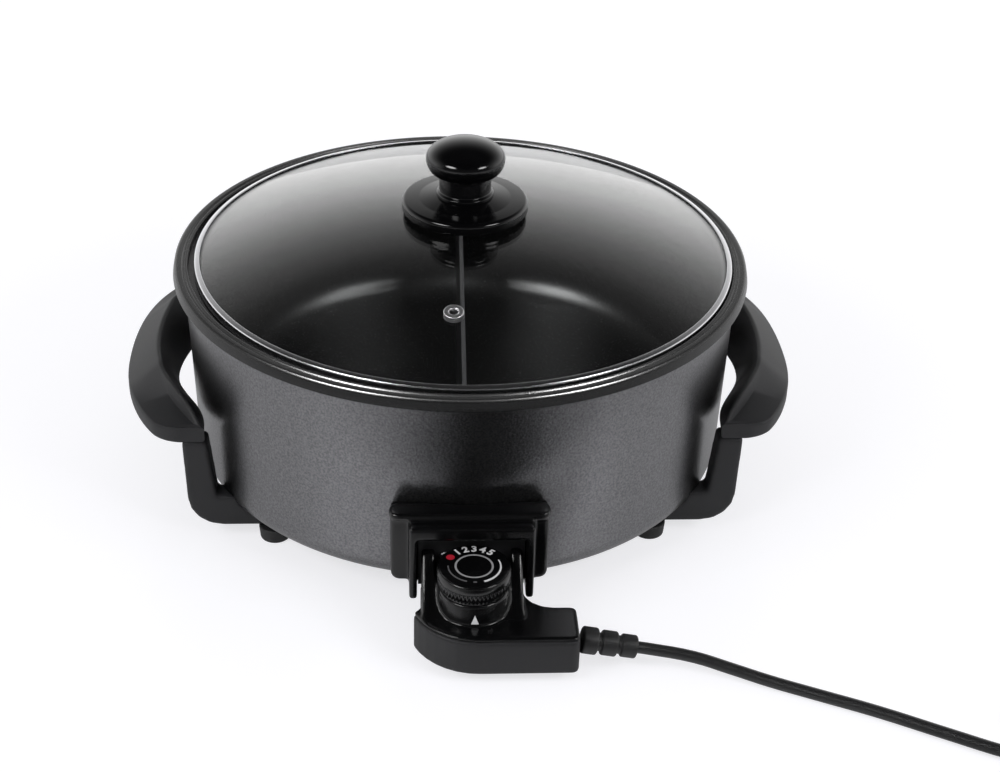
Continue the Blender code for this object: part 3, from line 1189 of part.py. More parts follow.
def make_tie(control, coil, rubber):
    """A band round the coil's bundle, on the side away from the plug."""
    inner_radius = COIL_RADIUS - COIL_PITCH * COIL_TURNS / 2 - CORD_RADIUS - TIE_PLAY
    outer_radius = COIL_RADIUS + CORD_RADIUS + TIE_PLAY
    low = CORD_LIFT - TIE_PLAY
    high = COIL_FLOOR + COIL_LAYER + CORD_RADIUS + TIE_PLAY
    inside = rounded([(inner_radius, low, CORD_RADIUS / 2), (outer_radius, low, CORD_RADIUS / 2),
                      (outer_radius, high, CORD_RADIUS / 2), (inner_radius, high, CORD_RADIUS / 2)], 2)
    low, high = low - TIE_SHEET, high + TIE_SHEET
    inner_radius, outer_radius = inner_radius - TIE_SHEET, outer_radius + TIE_SHEET
    corner = CORD_RADIUS / 2 + TIE_SHEET
    outside = rounded([(inner_radius, low, corner), (outer_radius, low, corner),
                       (outer_radius, high, corner), (inner_radius, high, corner)], 2)
    half = TIE_WIDTH / 2
    form = bmesh.new()
    loops = []
    for outline, depth in ((outside, -half), (outside, half), (inside, half), (inside, -half)):
        loops.append([form.verts.new((a, depth, b)) for a, b in outline])
    count = len(outside)
    for low_loop, high_loop in zip(loops, loops[1:] + loops[:1]):
        for step in range(count):
            after = (step + 1) % count
            form.faces.new((low_loop[step], low_loop[after], high_loop[after], high_loop[step]))
    add("cord_tie", form, rubber, control, (COIL_X, COIL_Y, 0), (0, 0, math.pi))


def make_plug(control, at, towards, rubber, bright):
    """A round earthed mains plug lying on its side, with its two pins."""
    tail = PLUG_TAIL_LENGTH
    grip = tail + PLUG_GRIP_LENGTH
    face = grip + PLUG_FACE_LENGTH
    profile = [
        (0, 0), (CORD_RADIUS + PLUG_EDGE, 0), (PLUG_TAIL_RADIUS, tail),
        (PLUG_GRIP_RADIUS - PLUG_EDGE, tail + PLUG_EDGE), (PLUG_GRIP_RADIUS, tail + 2 * PLUG_EDGE),
        (PLUG_GRIP_RADIUS - PLUG_EDGE, (tail + grip) / 2), (PLUG_GRIP_RADIUS, grip),
        (PLUG_RADIUS - PLUG_EDGE, grip + 2 * PLUG_EDGE), (PLUG_RADIUS, grip + 3 * PLUG_EDGE),
        (PLUG_RADIUS, face - PLUG_EDGE), (PLUG_RADIUS - PLUG_EDGE, face), (0, face),
    ]
    turn = towards.to_track_quat('Z', 'X').to_euler()
    add("mains_plug", turned(profile, PLUG_STEPS), rubber, control, at, turn)
    side = Vector((-towards.y, towards.x, 0))
    for number, offset in ((1, -PLUG_PIN_SPREAD), (2, PLUG_PIN_SPREAD)):
        pin = turned([(0, 0), (PLUG_PIN_RADIUS, 0), (PLUG_PIN_RADIUS, PLUG_PIN_LENGTH - PLUG_PIN_RADIUS / 2),
                      (PLUG_PIN_RADIUS / 2, PLUG_PIN_LENGTH), (0, PLUG_PIN_LENGTH)], TINY_STEPS)
        place = at + towards * (face + GAP) + side * offset
        add("plug_pin_%d" % number, pin, bright, control, place, turn)


FINISHES = {}


def make_finishes():
    """The materials, each a plain colour and roughness."""
    FINISHES["paint"] = finish("grey_hammer_paint", (112, 112, 114), 0.45, 0.3)
    FINISHES["coating"] = finish("black_non_stick", (24, 24, 25), 0.35)
    FINISHES["glass"] = finish("clear_glass", (225, 232, 232), 0.02, alpha=0.25)
    FINISHES["bright"] = finish("polished_steel", (205, 205, 208), 0.2, 1.0)
    FINISHES["steel"] = finish("zinc_steel", (150, 150, 152), 0.4, 1.0)
    FINISHES["aluminium"] = finish("divider_aluminium", (92, 92, 94), 0.4, 0.6)
    FINISHES["gloss"] = finish("gloss_black_phenolic", (16, 16, 17), 0.12)
    FINISHES["matte"] = finish("matte_black_phenolic", (52, 52, 54), 0.5)
    FINISHES["ceramic"] = finish("switch_ceramic", (210, 204, 190), 0.6)
    FINISHES["rubber"] = finish("black_rubber", (34, 34, 35), 0.7)
    FINISHES["pvc"] = finish("black_pvc", (28, 28, 29), 0.5)


def build():
    clear_scene()
    make_finishes()
    looks = FINISHES
    socket_at = (0, NECK_FACE_Y, ELEMENT_Z)
    root = carrier("root", (0, 0, 0))
    lid = carrier("lid", (LID_SHIFT, 0, SEAT), root)
    divider = carrier("divider", (0, 0, LINER_FLOOR), root)
    control = carrier("control", socket_at, root)
    dial = carrier("dial_axis", (DIAL_X, DIAL_Y, DIAL_TOP), control)

    make_shell(root, looks["paint"])
    make_liner(root, looks["coating"])
    make_base(root, looks["steel"])
    make_heater(root, looks["steel"], looks["bright"])
    for word, side in (("left", -1), ("right", 1)):
        make_handle(root, word, side, looks["matte"], looks["steel"])
    make_shroud(root, looks["gloss"], looks["matte"], looks["steel"])
    make_lid(lid, looks["glass"], looks["bright"], looks["gloss"], looks["rubber"])
    make_divider(divider, looks["aluminium"])
    make_control(control, looks["gloss"], looks["matte"], looks["steel"], looks["bright"], looks["ceramic"])
    make_dial(control, dial, looks["gloss"], looks["bright"])
    make_cord(control, looks["rubber"], looks["pvc"], looks["bright"])


build()
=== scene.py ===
# %% [markdown]
# # An electric skillet
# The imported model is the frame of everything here. It is loaded first, and each
# later cell either dresses one of its solids or lays a finer piece over one.
# All lengths are metres, the front is -Y, and the table is z = 0.

# %% Load the frame
from math import atan, atan2, cos, hypot, pi, radians, sin, sqrt, tan, tau

import bmesh
import bpy
from mathutils import Matrix, Vector


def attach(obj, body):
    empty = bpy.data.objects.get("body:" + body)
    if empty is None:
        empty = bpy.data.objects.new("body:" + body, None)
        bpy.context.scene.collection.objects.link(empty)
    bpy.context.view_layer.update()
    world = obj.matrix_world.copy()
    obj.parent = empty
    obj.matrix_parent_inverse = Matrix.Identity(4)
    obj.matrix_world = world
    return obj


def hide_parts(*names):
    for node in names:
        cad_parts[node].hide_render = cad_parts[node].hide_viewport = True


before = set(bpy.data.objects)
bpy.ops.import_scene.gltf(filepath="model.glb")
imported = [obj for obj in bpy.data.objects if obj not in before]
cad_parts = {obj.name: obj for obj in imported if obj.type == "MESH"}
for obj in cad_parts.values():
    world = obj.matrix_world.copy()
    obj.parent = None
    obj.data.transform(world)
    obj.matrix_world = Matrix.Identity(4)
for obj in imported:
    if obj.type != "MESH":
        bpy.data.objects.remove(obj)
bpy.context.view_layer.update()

# %% [markdown]
# The pan's own axis stands behind the origin, because the control sticks out in
# front and the origin is the middle of the whole thing. Keeping that distance in
# one place lets every other number be measured from the pan's middle.

# %% The pan's axis
PAN_Y = 0.02795


def at_pan(x, y, z):
    """A point measured from the pan's axis, as a point of the frame."""
    return Vector((x, y + PAN_Y, z))


# %% [markdown]
# The photograph was taken with a longish lens from about a metre away, looking
# down at 31 degrees and very slightly from the left. Aiming a camera by eye never
# quite lands, so its three axes were worked out from matching pairs of points,
# left and right, on the rim, the handles and the feet.

# %% Camera


def stand(name, data):
    """A new object in the scene."""
    made = bpy.data.objects.new(name, data)
    bpy.context.scene.collection.objects.link(made)
    return made


camera_right = Vector((0.99838, -0.05125, 0.02457))
camera_up = Vector((0.00579, 0.52177, 0.85307))
camera_back = -Vector((0.05654, 0.85155, -0.52122))
camera_data = bpy.data.cameras.new("photo_camera")
camera_data.lens = 67.78
camera_data.sensor_width = 36
camera = stand("photo_camera", camera_data)
turned_to_view = Matrix((camera_right, camera_up, camera_back)).transposed().to_4x4()
camera.matrix_world = Matrix.Translation(at_pan(-0.04253, -1.03543, 0.6859)) @ turned_to_view
bpy.context.scene.camera = camera
print("camera height", round(camera.matrix_world.translation.z, 3), "m")

# %% [markdown]
# A mains lead is a round PVC sheath, here 6.8 mm thick, and it falls to the table
# a short way from its strain relief. It could be a mesh tube, but a curve with a
# round bevel keeps one clean centre line that can still be edited. The spare
# length lies in a neat coil out of view, and each turn is drawn by formula so
# that the turns lie beside and on each other without touching. The thickness is
# written at the curve's points, over a bevel of 1 m, because Blender takes the
# points' own radius for the size of a curve's box.

# %% Cord
CORD_RADIUS = 0.0034
COIL_MIDDLE = (0.35, -0.2765)
COIL_RADIUS = 0.045
COIL_TURNS = 4
COIL_START_DEGREES = 244
TURN_SPACING = 0.0074
LAYER_SPACING = 0.0073
TURN_STEPS = 18
CORD_FLOOR = 0.0014 + CORD_RADIUS
RELIEF_DROOP = radians(11)

relief_tip = at_pan(0.09258, -0.2179, 0.01361)
relief_way = Vector((cos(RELIEF_DROOP), 0, -sin(RELIEF_DROOP)))
lead = 2 * CORD_RADIUS

from_relief = [
    (0.125, -0.2215, 0.0088), (0.145, -0.228, 0.0056), (0.165, -0.2368, 0.0038),
    (0.19, -0.2485, 0.0034), (0.22, -0.263, 0.0034), (0.255, -0.2825, 0.0036),
    (0.285, -0.299, 0.0041),
]
to_plug = [
    (0.35, -0.3252, 0.0115), (0.38, -0.323, 0.0095), (0.404, -0.304, 0.0075),
    (0.4129, -0.275, 0.007), (0.406, -0.245, 0.0085), (0.396, -0.225, 0.013),
]
plug_tail = at_pan(0.389, -0.205, 0.0188)
plug_way = Vector((-0.3, 1.0, 0.0)).normalized()

coil = []
for step in range(COIL_TURNS * TURN_STEPS + 1):
    turn = step / TURN_STEPS
    half = COIL_TURNS / 2
    radius = COIL_RADIUS - TURN_SPACING * (half - abs(turn - half))
    rise = min(max((turn - half) * 2 + 0.5, 0), 1)
    rise = rise * rise * (3 - 2 * rise)
    angle = radians(COIL_START_DEGREES) + tau * turn
    coil.append(at_pan(COIL_MIDDLE[0] + radius * cos(angle),
                       COIL_MIDDLE[1] + radius * sin(angle),
                       CORD_FLOOR + LAYER_SPACING * rise))
coil_angle = radians(COIL_START_DEGREES + 90)
coil_way = Vector((cos(coil_angle), sin(coil_angle), 0))

line = [relief_tip, relief_tip + relief_way * lead]
line += [at_pan(*point) for point in from_relief]
line += [coil[0] - coil_way * lead] + coil + [coil[-1] + coil_way * lead]
line += [at_pan(*point) for point in to_plug]
line += [plug_tail - plug_way * lead, plug_tail]

cord_curve = bpy.data.curves.new("mains_cord", 'CURVE')
cord_curve.dimensions = '3D'
cord_curve.resolution_u = 4
cord_curve.bevel_depth = 1.0
cord_curve.bevel_resolution = 5
cord_curve.use_fill_caps = True
spline = cord_curve.splines.new('BEZIER')
spline.bezier_points.add(len(line) - 1)
for knot, place in zip(spline.bezier_points, line):
    knot.co = place
    knot.radius = CORD_RADIUS
    knot.handle_left_type = knot.handle_right_type = 'AUTO'
mains_cord = stand("mains_cord", cord_curve)
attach(mains_cord, "control")
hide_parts("power_cord", "cord_coil", "cord_tail")
bpy.context.view_layer.update()

# %% [markdown]
# Blender mixes light in linear numbers, and screens and colour pickers use sRGB.
# Writing every colour as an sRGB hex value and turning it over in one function
# keeps the numbers readable. One small function fills a node's inputs with values
# or links, one adds a node and fills it, and one adds a node that does a sum.

# %% Helpers for materials


def colour(code):
    """An sRGB hex colour as the linear colour that Blender wants."""
    channels = [int(code[place:place + 2], 16) / 255 for place in (1, 3, 5)]
    linear = [c / 12.92 if c <= 0.04045 else ((c + 0.055) / 1.055) ** 2.4 for c in channels]
    return (*linear, 1.0)


def fill(tree, node, sockets):
    """Set inputs to a value, to an output, or to the first output of another node."""
    for socket, value in sockets.items():
        if isinstance(value, bpy.types.Node):
            value = value.outputs[0]
        if isinstance(value, bpy.types.NodeSocket):
            tree.links.new(value, node.inputs[socket])
        else:
            node.inputs[socket].default_value = value


def put(tree, kind, sockets=None, **settings):
    """Add one node, set it up and fill its inputs."""
    made = tree.nodes.new(kind if "Node" in kind else "ShaderNode" + kind)
    for setting, value in settings.items():
        setattr(made, setting, value)
    fill(tree, made, sockets or {})
    return made


def reckon(tree, operation, first, second):
    """Add one Math node."""
    return put(tree, "Math", {0: first, 1: second}, operation=operation)


def start_finish(name):
    """A new material, its node tree and its Principled shader."""
    material = bpy.data.materials.new(name)
    material.use_nodes = True
    return material, material.node_tree, material.node_tree.nodes["Principled BSDF"]


def dress(material, *names):
    """Give CAD solids a finish through their objects' own slots."""
    for name in names:
        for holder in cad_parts[name].material_slots:
            holder.link = 'OBJECT'
            holder.material = material


# %% [markdown]
# Most finishes here differ in how fine their grain is, the two tones it runs
# between, how its shine varies and how deep it is pressed in. On a real surface
# these go together, because a grain that stands high also wears paler or duller.
# So one noise drives all of them, and one function builds the finish.

# %% A finish from one noise


def grained(name, per_metre, detail, tones, rough=None, press=None, **inputs):
    """Tone, roughness and bump from one noise; inputs are sockets with a fixed value."""
    material, tree, shader = start_finish(name)
    place = put(tree, "TexCoord").outputs["Object"]
    grain = put(tree, "TexNoise", {"Vector": place, "Scale": per_metre, "Detail": detail})
    inputs["Base Color"] = put(tree, "MixRGB", {"Fac": grain, "Color1": colour(tones[0]),
                                                "Color2": colour(tones[1])})
    if rough:
        inputs["Roughness"] = put(tree, "MapRange", {"Value": grain, "To Min": rough[0],
                                                     "To Max": rough[1]})
    if press:
        inputs["Normal"] = put(tree, "Bump", {"Height": grain, "Strength": press[0],
                                              "Distance": press[1]})
    fill(tree, shader, inputs)
    return material


# %% [markdown]
# The outer shell is pressed steel with a stoved hammer paint: grey resin full of
# fine aluminium flake that pulls into small round dimples as it dries. The flake
# makes it reflect like a dull metal, so the wall shows a blurred image of the
# floor, the control and the handles. Small smooth cells pressed in as bump give
# the dimples, and a fine noise gives the flake its lighter and darker grains.

# %% Hammer paint
DIMPLE_MM = 1.5
FLAKE_MM = DIMPLE_MM * 0.8
hammer_paint, tree, shader = start_finish("stoved_hammer_paint")
place = put(tree, "TexCoord").outputs["Object"]
dimples = put(tree, "TexVoronoi", {"Vector": place, "Scale": 1000 / DIMPLE_MM, "Smoothness": 0.6},
              feature='SMOOTH_F1')
flake = put(tree, "TexNoise", {"Vector": place, "Scale": 1000 / FLAKE_MM, "Detail": 3.0})
tone = put(tree, "ValToRGB", {"Fac": flake})
for step, (position, code) in enumerate(((0.35, "#666668"), (0.65, "#7F7F81"))):
    tone.color_ramp.elements[step].position = position
    tone.color_ramp.elements[step].color = colour(code)
drift = put(tree, "TexNoise", {"Vector": place, "Scale": 18.0, "Detail": 2.0})
sheen = put(tree, "MapRange", {"Value": drift, "To Min": 0.27, "To Max": 0.33})
press = put(tree, "Bump", {"Height": dimples, "Strength": 0.2, "Distance": 0.0004})
fill(tree, shader, {"Base Color": tone, "Roughness": sheen, "Normal": press, "Metallic": 1.0})
dress(hammer_paint, "outer_shell")
print("dimples", DIMPLE_MM, "mm across")

# %% [markdown]
# The liner and its rolled rim are aluminium under a sprayed PTFE non-stick coat.
# PTFE dries to a satin black with a very fine orange peel, a little softer in its
# shine than the moulded plastic around it. Real peel is about 0.4 mm, too fine to
# show from a metre away, so it is drawn at 1.2 mm.

# %% Non-stick coating
PEEL_MM = 1.2
non_stick = grained("sprayed_ptfe_coating", 1000 / PEEL_MM, 2.0, ("#111112", "#191919"),
                    rough=(0.24, 0.29), press=(0.03, 0.0003), IOR=1.4)
dress(non_stick, "pan_liner")
print("coating peel", PEEL_MM, "mm")

# %% [markdown]
# The lid is tempered soda-lime glass. Real glass bends light twice and throws
# caustics, which a renderer finds slowly, and a plain glass shader would leave
# the pan under it black. Letting only shadow rays pass straight through keeps
# the real reflections and lets the studio's light fall into the pan.

# %% Tempered glass
GLASS_IOR = 1.52
lid_glass_finish = grained("tempered_soda_lime_glass", 14, 1, ("#F6F7F7", "#FAFAFA"),
                           press=(0.01, 0.002), Roughness=0.0, IOR=GLASS_IOR,
                           **{"Transmission Weight": 1.0})
tree = lid_glass_finish.node_tree
rays = put(tree, "LightPath").outputs
clear = put(tree, "BsdfTransparent", {"Color": colour("#F4F5F5")})
either = put(tree, "MixShader", {0: rays["Is Shadow Ray"], 1: tree.nodes["Principled BSDF"],
                                 2: clear})
fill(tree, tree.nodes["Material Output"], {"Surface": either})
dress(lid_glass_finish, "lid_glass")
print("glass refracts by", GLASS_IOR)

# %% [markdown]
# Three bright metals differ in how they were finished. The band round the lid, the
# terminal pins and the plug's pins are polished stainless or nickel-plated brass,
# whose hair-fine marks break the shine. The vent's eyelet is brass that was barrel
# plated, so it is softer and looks pale from every side. Screws, the bottom plate,
# the clamps and the element's sheath are zinc plated, greyer and duller, with
# cloudy patches where the plating took unevenly.

# %% Bright metals
polished = grained("polished_stainless_steel", 900, 2, ("#CFCFD2", "#DEDEE0"),
                   rough=(0.16, 0.26), Metallic=1)
nickel = grained("barrel_plated_nickel", 700, 3, ("#DADADC", "#E8E8EA"),
                 rough=(0.34, 0.44), Metallic=1)
zinc = grained("zinc_plated_steel", 120, 4, ("#8C8D90", "#A6A7AA"),
               rough=(0.34, 0.5), Metallic=1)
zinc_nodes = [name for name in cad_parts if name.startswith((
    "leg_screw", "handle_screw", "control_screw", "shroud_screw", "element_clamp"))]
dress(polished, "lid_band", "knob_screw", "terminal_pin_left", "terminal_pin_right",
      "contact_sleeve_left", "contact_sleeve_right", "dial_shaft", "plug_pin_1", "plug_pin_2")
dress(nickel, "vent_eyelet")
dress(zinc, "base_plate", "base_bolt", "heating_element", "probe_tube", "probe", *zinc_nodes)
print("zinc pieces", len(zinc_nodes) + 5)

# %% [markdown]
# The divider is sheet aluminium under the same dark coat as the pan. Its top
# edge carries a painted highlight: faces that point up are painted a pale grey,
# as if lit from above, so through the glass the plate reads as one thin grey line.
# The surface's own normal tells the shader which faces point up, so the painted
# highlight follows the plate however it is moved.

# %% Coated aluminium with a painted highlight along its top
divider_coat, tree, shader = start_finish("coated_aluminium_sheet")
place = put(tree, "TexCoord").outputs["Object"]
noise = put(tree, "TexNoise", {"Vector": place, "Scale": 500.0, "Detail": 3.0})
coat, painted_top_highlight = (
    put(tree, "MixRGB", {"Fac": noise, "Color1": colour(dark), "Color2": colour(light)})
    for dark, light in (("#0E0E0F", "#161617"), ("#5A5A5C", "#69696B")))
facing = put(tree, "SeparateXYZ", {0: put(tree, "NewGeometry").outputs["Normal"]})
# Painted highlight: faces pointing up take the pale grey, as if lit from above.
lit_top_faces = reckon(tree, 'GREATER_THAN', facing.outputs["Z"], 0.6)
tone = put(tree, "MixRGB", {"Fac": lit_top_faces, "Color1": coat, "Color2": painted_top_highlight})
fill(tree, shader, {"Base Color": tone, "Roughness": 0.45, "IOR": 1.38})
dress(divider_coat, "divider_plate")
print("divider finish", divider_coat.name)

# %% [markdown]
# The knob, the socket and the control's top are phenolic resin, the old heat-proof
# plastic. It comes out nearly black, and the moulding leaves waves so long and
# shallow that only reflections show them. The knob's tool was polished to a wet
# shine. The socket and the control came from a tool one step duller, so their
# highlights are softer. The two differ in nothing else but how they bend light.

# %% Gloss phenolic
RESIN_TONES = ("#040405", "#080809")
WAVES_PER_METRE = 70.0
WAVE_PRESS = (0.02, 0.001)
polished_phenolic, satin_phenolic = (
    grained(name, WAVES_PER_METRE, 1.0, RESIN_TONES, rough=rough, press=WAVE_PRESS, IOR=bends_light)
    for name, rough, bends_light in (("polished_black_phenolic", (0.09, 0.13), 1.46),
                                     ("satin_black_phenolic", (0.2, 0.25), 1.5)))
dress(polished_phenolic, "lid_knob", "knob_flange")
dress(satin_phenolic, "socket_shroud", "control_upper_housing", "dial")
print("phenolic finishes", 2)

# %% [markdown]
# The handles, the legs and the control's lower half are the same resin moulded in
# spark-eroded tools, which leave an even matte grain. The real grain is about
# 0.3 mm, so it is drawn at 0.8 mm to show at all.

# %% Matte phenolic
GRAIN_MM = 0.8
matte_phenolic = grained("grained_black_phenolic", 1000 / GRAIN_MM, 2.0, ("#1C1C1E", "#262628"),
                         rough=(0.46, 0.58), press=(0.12, 0.0002), IOR=1.42)
leg_nodes = [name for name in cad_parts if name.startswith("leg_") and "screw" not in name]
dress(matte_phenolic, "handle_left", "handle_right", "control_lower_housing", "terminal_plate",
      *leg_nodes)
print("legs", len(leg_nodes))

# %% [markdown]
# Rubber feet, the strain relief, the coil's tie and the plug are soft black
# rubber: no clear reflections, only a faint bloom that lightens its tone in
# patches. The cord's PVC is smoother and catches a soft line of light. The
# thermostat is unglazed steatite, a pale and chalky ceramic.

# %% Rubber, PVC and ceramic
rubber = grained("moulded_black_rubber", 260, 4, ("#161617", "#202021"), rough=(0.42, 0.55))
foot_nodes = [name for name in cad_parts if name.startswith("foot_")]
dress(rubber, "knob_washer", "strain_relief", "cord_tie", "mains_plug", *foot_nodes)
pvc = grained("extruded_black_pvc", 300, 2, ("#1A1A1B", "#222223"), rough=(0.36, 0.46))
mains_cord.data.materials.append(pvc)
ceramic = grained("unglazed_steatite", 400, 5, ("#CDC6B8", "#DDD8CC"), Roughness=0.7)
dress(ceramic, "thermostat")
print("feet dressed", len(foot_nodes))

# %% [markdown]
# The marks on the dial and the control are pad-printed: a soft silicone pad lays
# down a film of ink some hundredths of a millimetre thick. Ink is slightly uneven,
# so a fine noise varies its tone. Real films are too thin to model, so the marks
# stand 0.05 mm proud.

# %% Printing inks
INK_TONES = {
    "pad_printed_white_ink": ("#C4C4C6", "#D8D8DA"),
    "pad_printed_grey_ink": ("#868688", "#969698"),
    "worn_grey_ink": ("#4C4C4E", "#5A5A5C"),
    "pad_printed_red_ink": ("#9C1428", "#B01C30"),
}
white_ink, grey_ink, faint_ink, red_ink = (
    grained(name, 900, 3, tones, Roughness=0.5) for name, tones in INK_TONES.items())
print("inks", len(INK_TONES))

# %% [markdown]
# Most of this skillet is round, so most of its finer pieces are spun: a profile
# of radius and height, swept once round an axis, as a lathe would. Corners are
# rounded with short arcs because no moulded or pressed edge is ever sharp, and it
# is those arcs that catch the light. A screw modifier could spin the profile too,
# but a few lines of bmesh leave a clean closed mesh with nothing to apply.

# %% Helpers for shapes


def filleted(corners, closed=False, steps=6):
    """An outline whose corners (a, b, radius) are rounded with arcs."""
    points = []
    for index, (a, b, radius) in enumerate(corners):
        inside = closed or 0 < index < len(corners) - 1
        if radius == 0 or not inside:
            points.append((a, b))
            continue
        here = Vector((a, b))
        before, after = ((Vector(corners[place % len(corners)][:2]) - here).normalized()
                         for place in (index - 1, index + 1))
        half = before.angle(after) / 2
        centre = here + (before + after).normalized() * (radius / sin(half))
        first, last = (here + way * (radius / tan(half)) - centre for way in (before, after))
        sweep = first.angle_signed(last)
        for step in range(steps + 1):
            spoke = first.copy()
            spoke.rotate(Matrix.Rotation(-sweep * step / steps, 2))
            points.append(tuple(centre + spoke))
    return points


def spun(profile, steps=96):
    """Spin a profile of (radius, height) round Z into a closed bmesh."""
    form = bmesh.new()
    rings = []
    for radius, height in profile:
        count = 1 if radius == 0 else steps
        rings.append([form.verts.new((radius * cos(tau * step / steps),
                                      radius * sin(tau * step / steps), height))
                      for step in range(count)])
    pairs = list(zip(rings, rings[1:]))
    if profile[0][0] != 0:
        pairs.append((rings[-1], rings[0]))
    for low, high in pairs:
        for step in range(steps):
            after = step + 1
            corners = dict.fromkeys((low[step % len(low)], low[after % len(low)],
                                     high[after % len(high)], high[step % len(high)]))
            if len(corners) > 2:
                form.faces.new(list(corners))
    return form


def skinned(sections):
    """Skin a row of sections with equal numbers of points, and cap both ends."""
    form = bmesh.new()
    rings = [[form.verts.new(point) for point in section] for section in sections]
    count = len(rings[0])
    for low, high in zip(rings, rings[1:]):
        for step in range(count):
            after = (step + 1) % count
            form.faces.new((low[step], low[after], high[after], high[step]))
    form.faces.new(list(reversed(rings[0])))
    form.faces.new(rings[-1])
    return form


def mesh_of(name, form):
    """A mesh from a bmesh, which is then freed."""
    mesh = bpy.data.meshes.new(name)
    form.to_mesh(mesh)
    form.free()
    return mesh


def piece(name, form, material, body, stands_for=(), at=(0, 0, 0), turn=Matrix.Identity(4),
          sharp=40):
    """Turn a bmesh into a piece that rides on a body; at is measured from the pan's axis."""
    form.transform(Matrix.Translation(at_pan(*at)) @ turn)
    bmesh.ops.remove_doubles(form, verts=form.verts, dist=1e-6)
    bmesh.ops.recalc_face_normals(form, faces=form.faces)
    mesh = mesh_of(name, form)
    mesh.shade_smooth()
    mesh.set_sharp_from_angle(angle=radians(sharp))
    mesh.materials.append(material)
    made = stand(name, mesh)
    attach(made, body)
    if stands_for:
        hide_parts(*stands_for)
    return made


# %% [markdown]
# Solids that come out of the CAD file right in shape but with flat facets only
# need softer shading. A small geometry nodes tree welds their corners, shades them
# smooth and keeps sharp edges crisp. As a modifier it leaves the CAD mesh alone.

# %% Smooth shading for the plain solids
CRISP_DEGREES = 35
soft_shading = bpy.data.node_groups.new("smooth_faces_crisp_edges", 'GeometryNodeTree')
for way in ('INPUT', 'OUTPUT'):
    soft_shading.interface.new_socket("Geometry", in_out=way, socket_type='NodeSocketGeometry')
arrive = put(soft_shading, "NodeGroupInput")
weld = put(soft_shading, "GeometryNodeMergeByDistance", {0: arrive, "Distance": 1e-5})
all_smooth = put(soft_shading, "GeometryNodeSetShadeSmooth", {0: weld})
bend = put(soft_shading, "GeometryNodeInputMeshEdgeAngle")
is_crisp = put(soft_shading, "FunctionNodeCompare",
               {0: bend.outputs["Unsigned Angle"], 1: radians(CRISP_DEGREES)},
               data_type='FLOAT', operation='GREATER_THAN')
keep_crisp = put(soft_shading, "GeometryNodeSetShadeSmooth",
                 {0: all_smooth, "Selection": is_crisp, "Shade Smooth": False}, domain='EDGE')
put(soft_shading, "NodeGroupOutput", {0: keep_crisp})

for name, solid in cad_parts.items():
    softer = solid.modifiers.new("soft_shading", 'NODES')
    softer.node_group = soft_shading
    even = solid.modifiers.new("even_normals", 'WEIGHTED_NORMAL')
    even.keep_sharp = True
print("solids with soft shading", len(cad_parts))

# %% [markdown]
# The outer shell is one deep drawn steel cup, a little narrower at its foot, with
# a generous corner into the flange that carries the bottom plate. Its curve is
# the largest reflecting surface of the whole object, so it is spun in 2 degree
# steps to keep its edge and its reflections round.

# %% Outer shell
SHELL_TOP = 0.1702
SHELL_FOOT = 0.166
SHELL_MOUTH = 0.12
SHELL_BOTTOM = 0.018
SHELL_SHEET = 0.0016
SHELL_CORNER = 0.015
RIM_UNDERSIDE = 0.1475
shell_profile = filleted([
    (SHELL_TOP, RIM_UNDERSIDE, 0), (SHELL_FOOT, SHELL_BOTTOM, SHELL_CORNER),
    (SHELL_MOUTH, SHELL_BOTTOM, 0), (SHELL_MOUTH, SHELL_BOTTOM + SHELL_SHEET, 0),
    (SHELL_FOOT - SHELL_SHEET, SHELL_BOTTOM + SHELL_SHEET, SHELL_CORNER - SHELL_SHEET),
    (SHELL_TOP - SHELL_SHEET, RIM_UNDERSIDE, 0),
], steps=10)
piece("pressed_shell", spun(shell_profile, 180), hammer_paint, "skillet",
      ["outer_shell"])
print("shell profile points", len(shell_profile))

# %% [markdown]
# The pan and its rim are one spinning: floor, rounded corner, wall, a ledge for
# the lid, then a small inner lip, a shallow groove and a rolled bead that turns
# down over the shell. The groove is what makes the rim read as two black lines in
# the photograph, and it needs no more than three extra corners in the profile.

# %% Pan and rolled rim
COAT_SHEET = 0.0022
PAN_FLOOR = 0.042
PAN_CORNER = 0.024
FLOOR_RADIUS = 0.157
WALL_RADIUS = 0.16
LEDGE = 0.1455
LIP_IN = 0.1674
LIP_TOP = 0.1499
BEAD_TOP = 0.15
BEAD_FOOT = 0.1432
pan_profile = filleted([
    (0, PAN_FLOOR, 0), (FLOOR_RADIUS, PAN_FLOOR, PAN_CORNER), (WALL_RADIUS, LEDGE, 0.001),
    (LIP_IN, LEDGE, 0.0005), (LIP_IN, LIP_TOP, 0.0008), (0.1692, LIP_TOP, 0.0006),
    (0.1701, 0.149, 0.0006), (0.1712, BEAD_TOP, 0.0008), (0.1752, BEAD_TOP, 0.0022),
    (0.1766, BEAD_FOOT, 0.0006), (0.1744, BEAD_FOOT, 0.0006), (0.174, 0.1478, 0.0008),
    (0.1677, 0.1478, 0.0006), (0.1677, 0.1433, 0.0003), (WALL_RADIUS + COAT_SHEET, 0.1433, 0.0006),
    (FLOOR_RADIUS + COAT_SHEET, PAN_FLOOR - COAT_SHEET, PAN_CORNER + COAT_SHEET),
    (0, PAN_FLOOR - COAT_SHEET, 0),
], steps=8)
coated_pan = piece("coated_pan", spun(pan_profile, 180), non_stick, "skillet",
                   ["pan_liner"])
print("pan profile points", len(pan_profile))

# %% [markdown]
# The lid is a shallow bowl of tempered glass. Its curve is a parabola, close to
# the circle that sagging over a mould gives, and forty rings keep the long fade
# of light across it free of bands. A hole is cut for the vent with a Boolean that
# is applied at once, because the glass must really be open there.

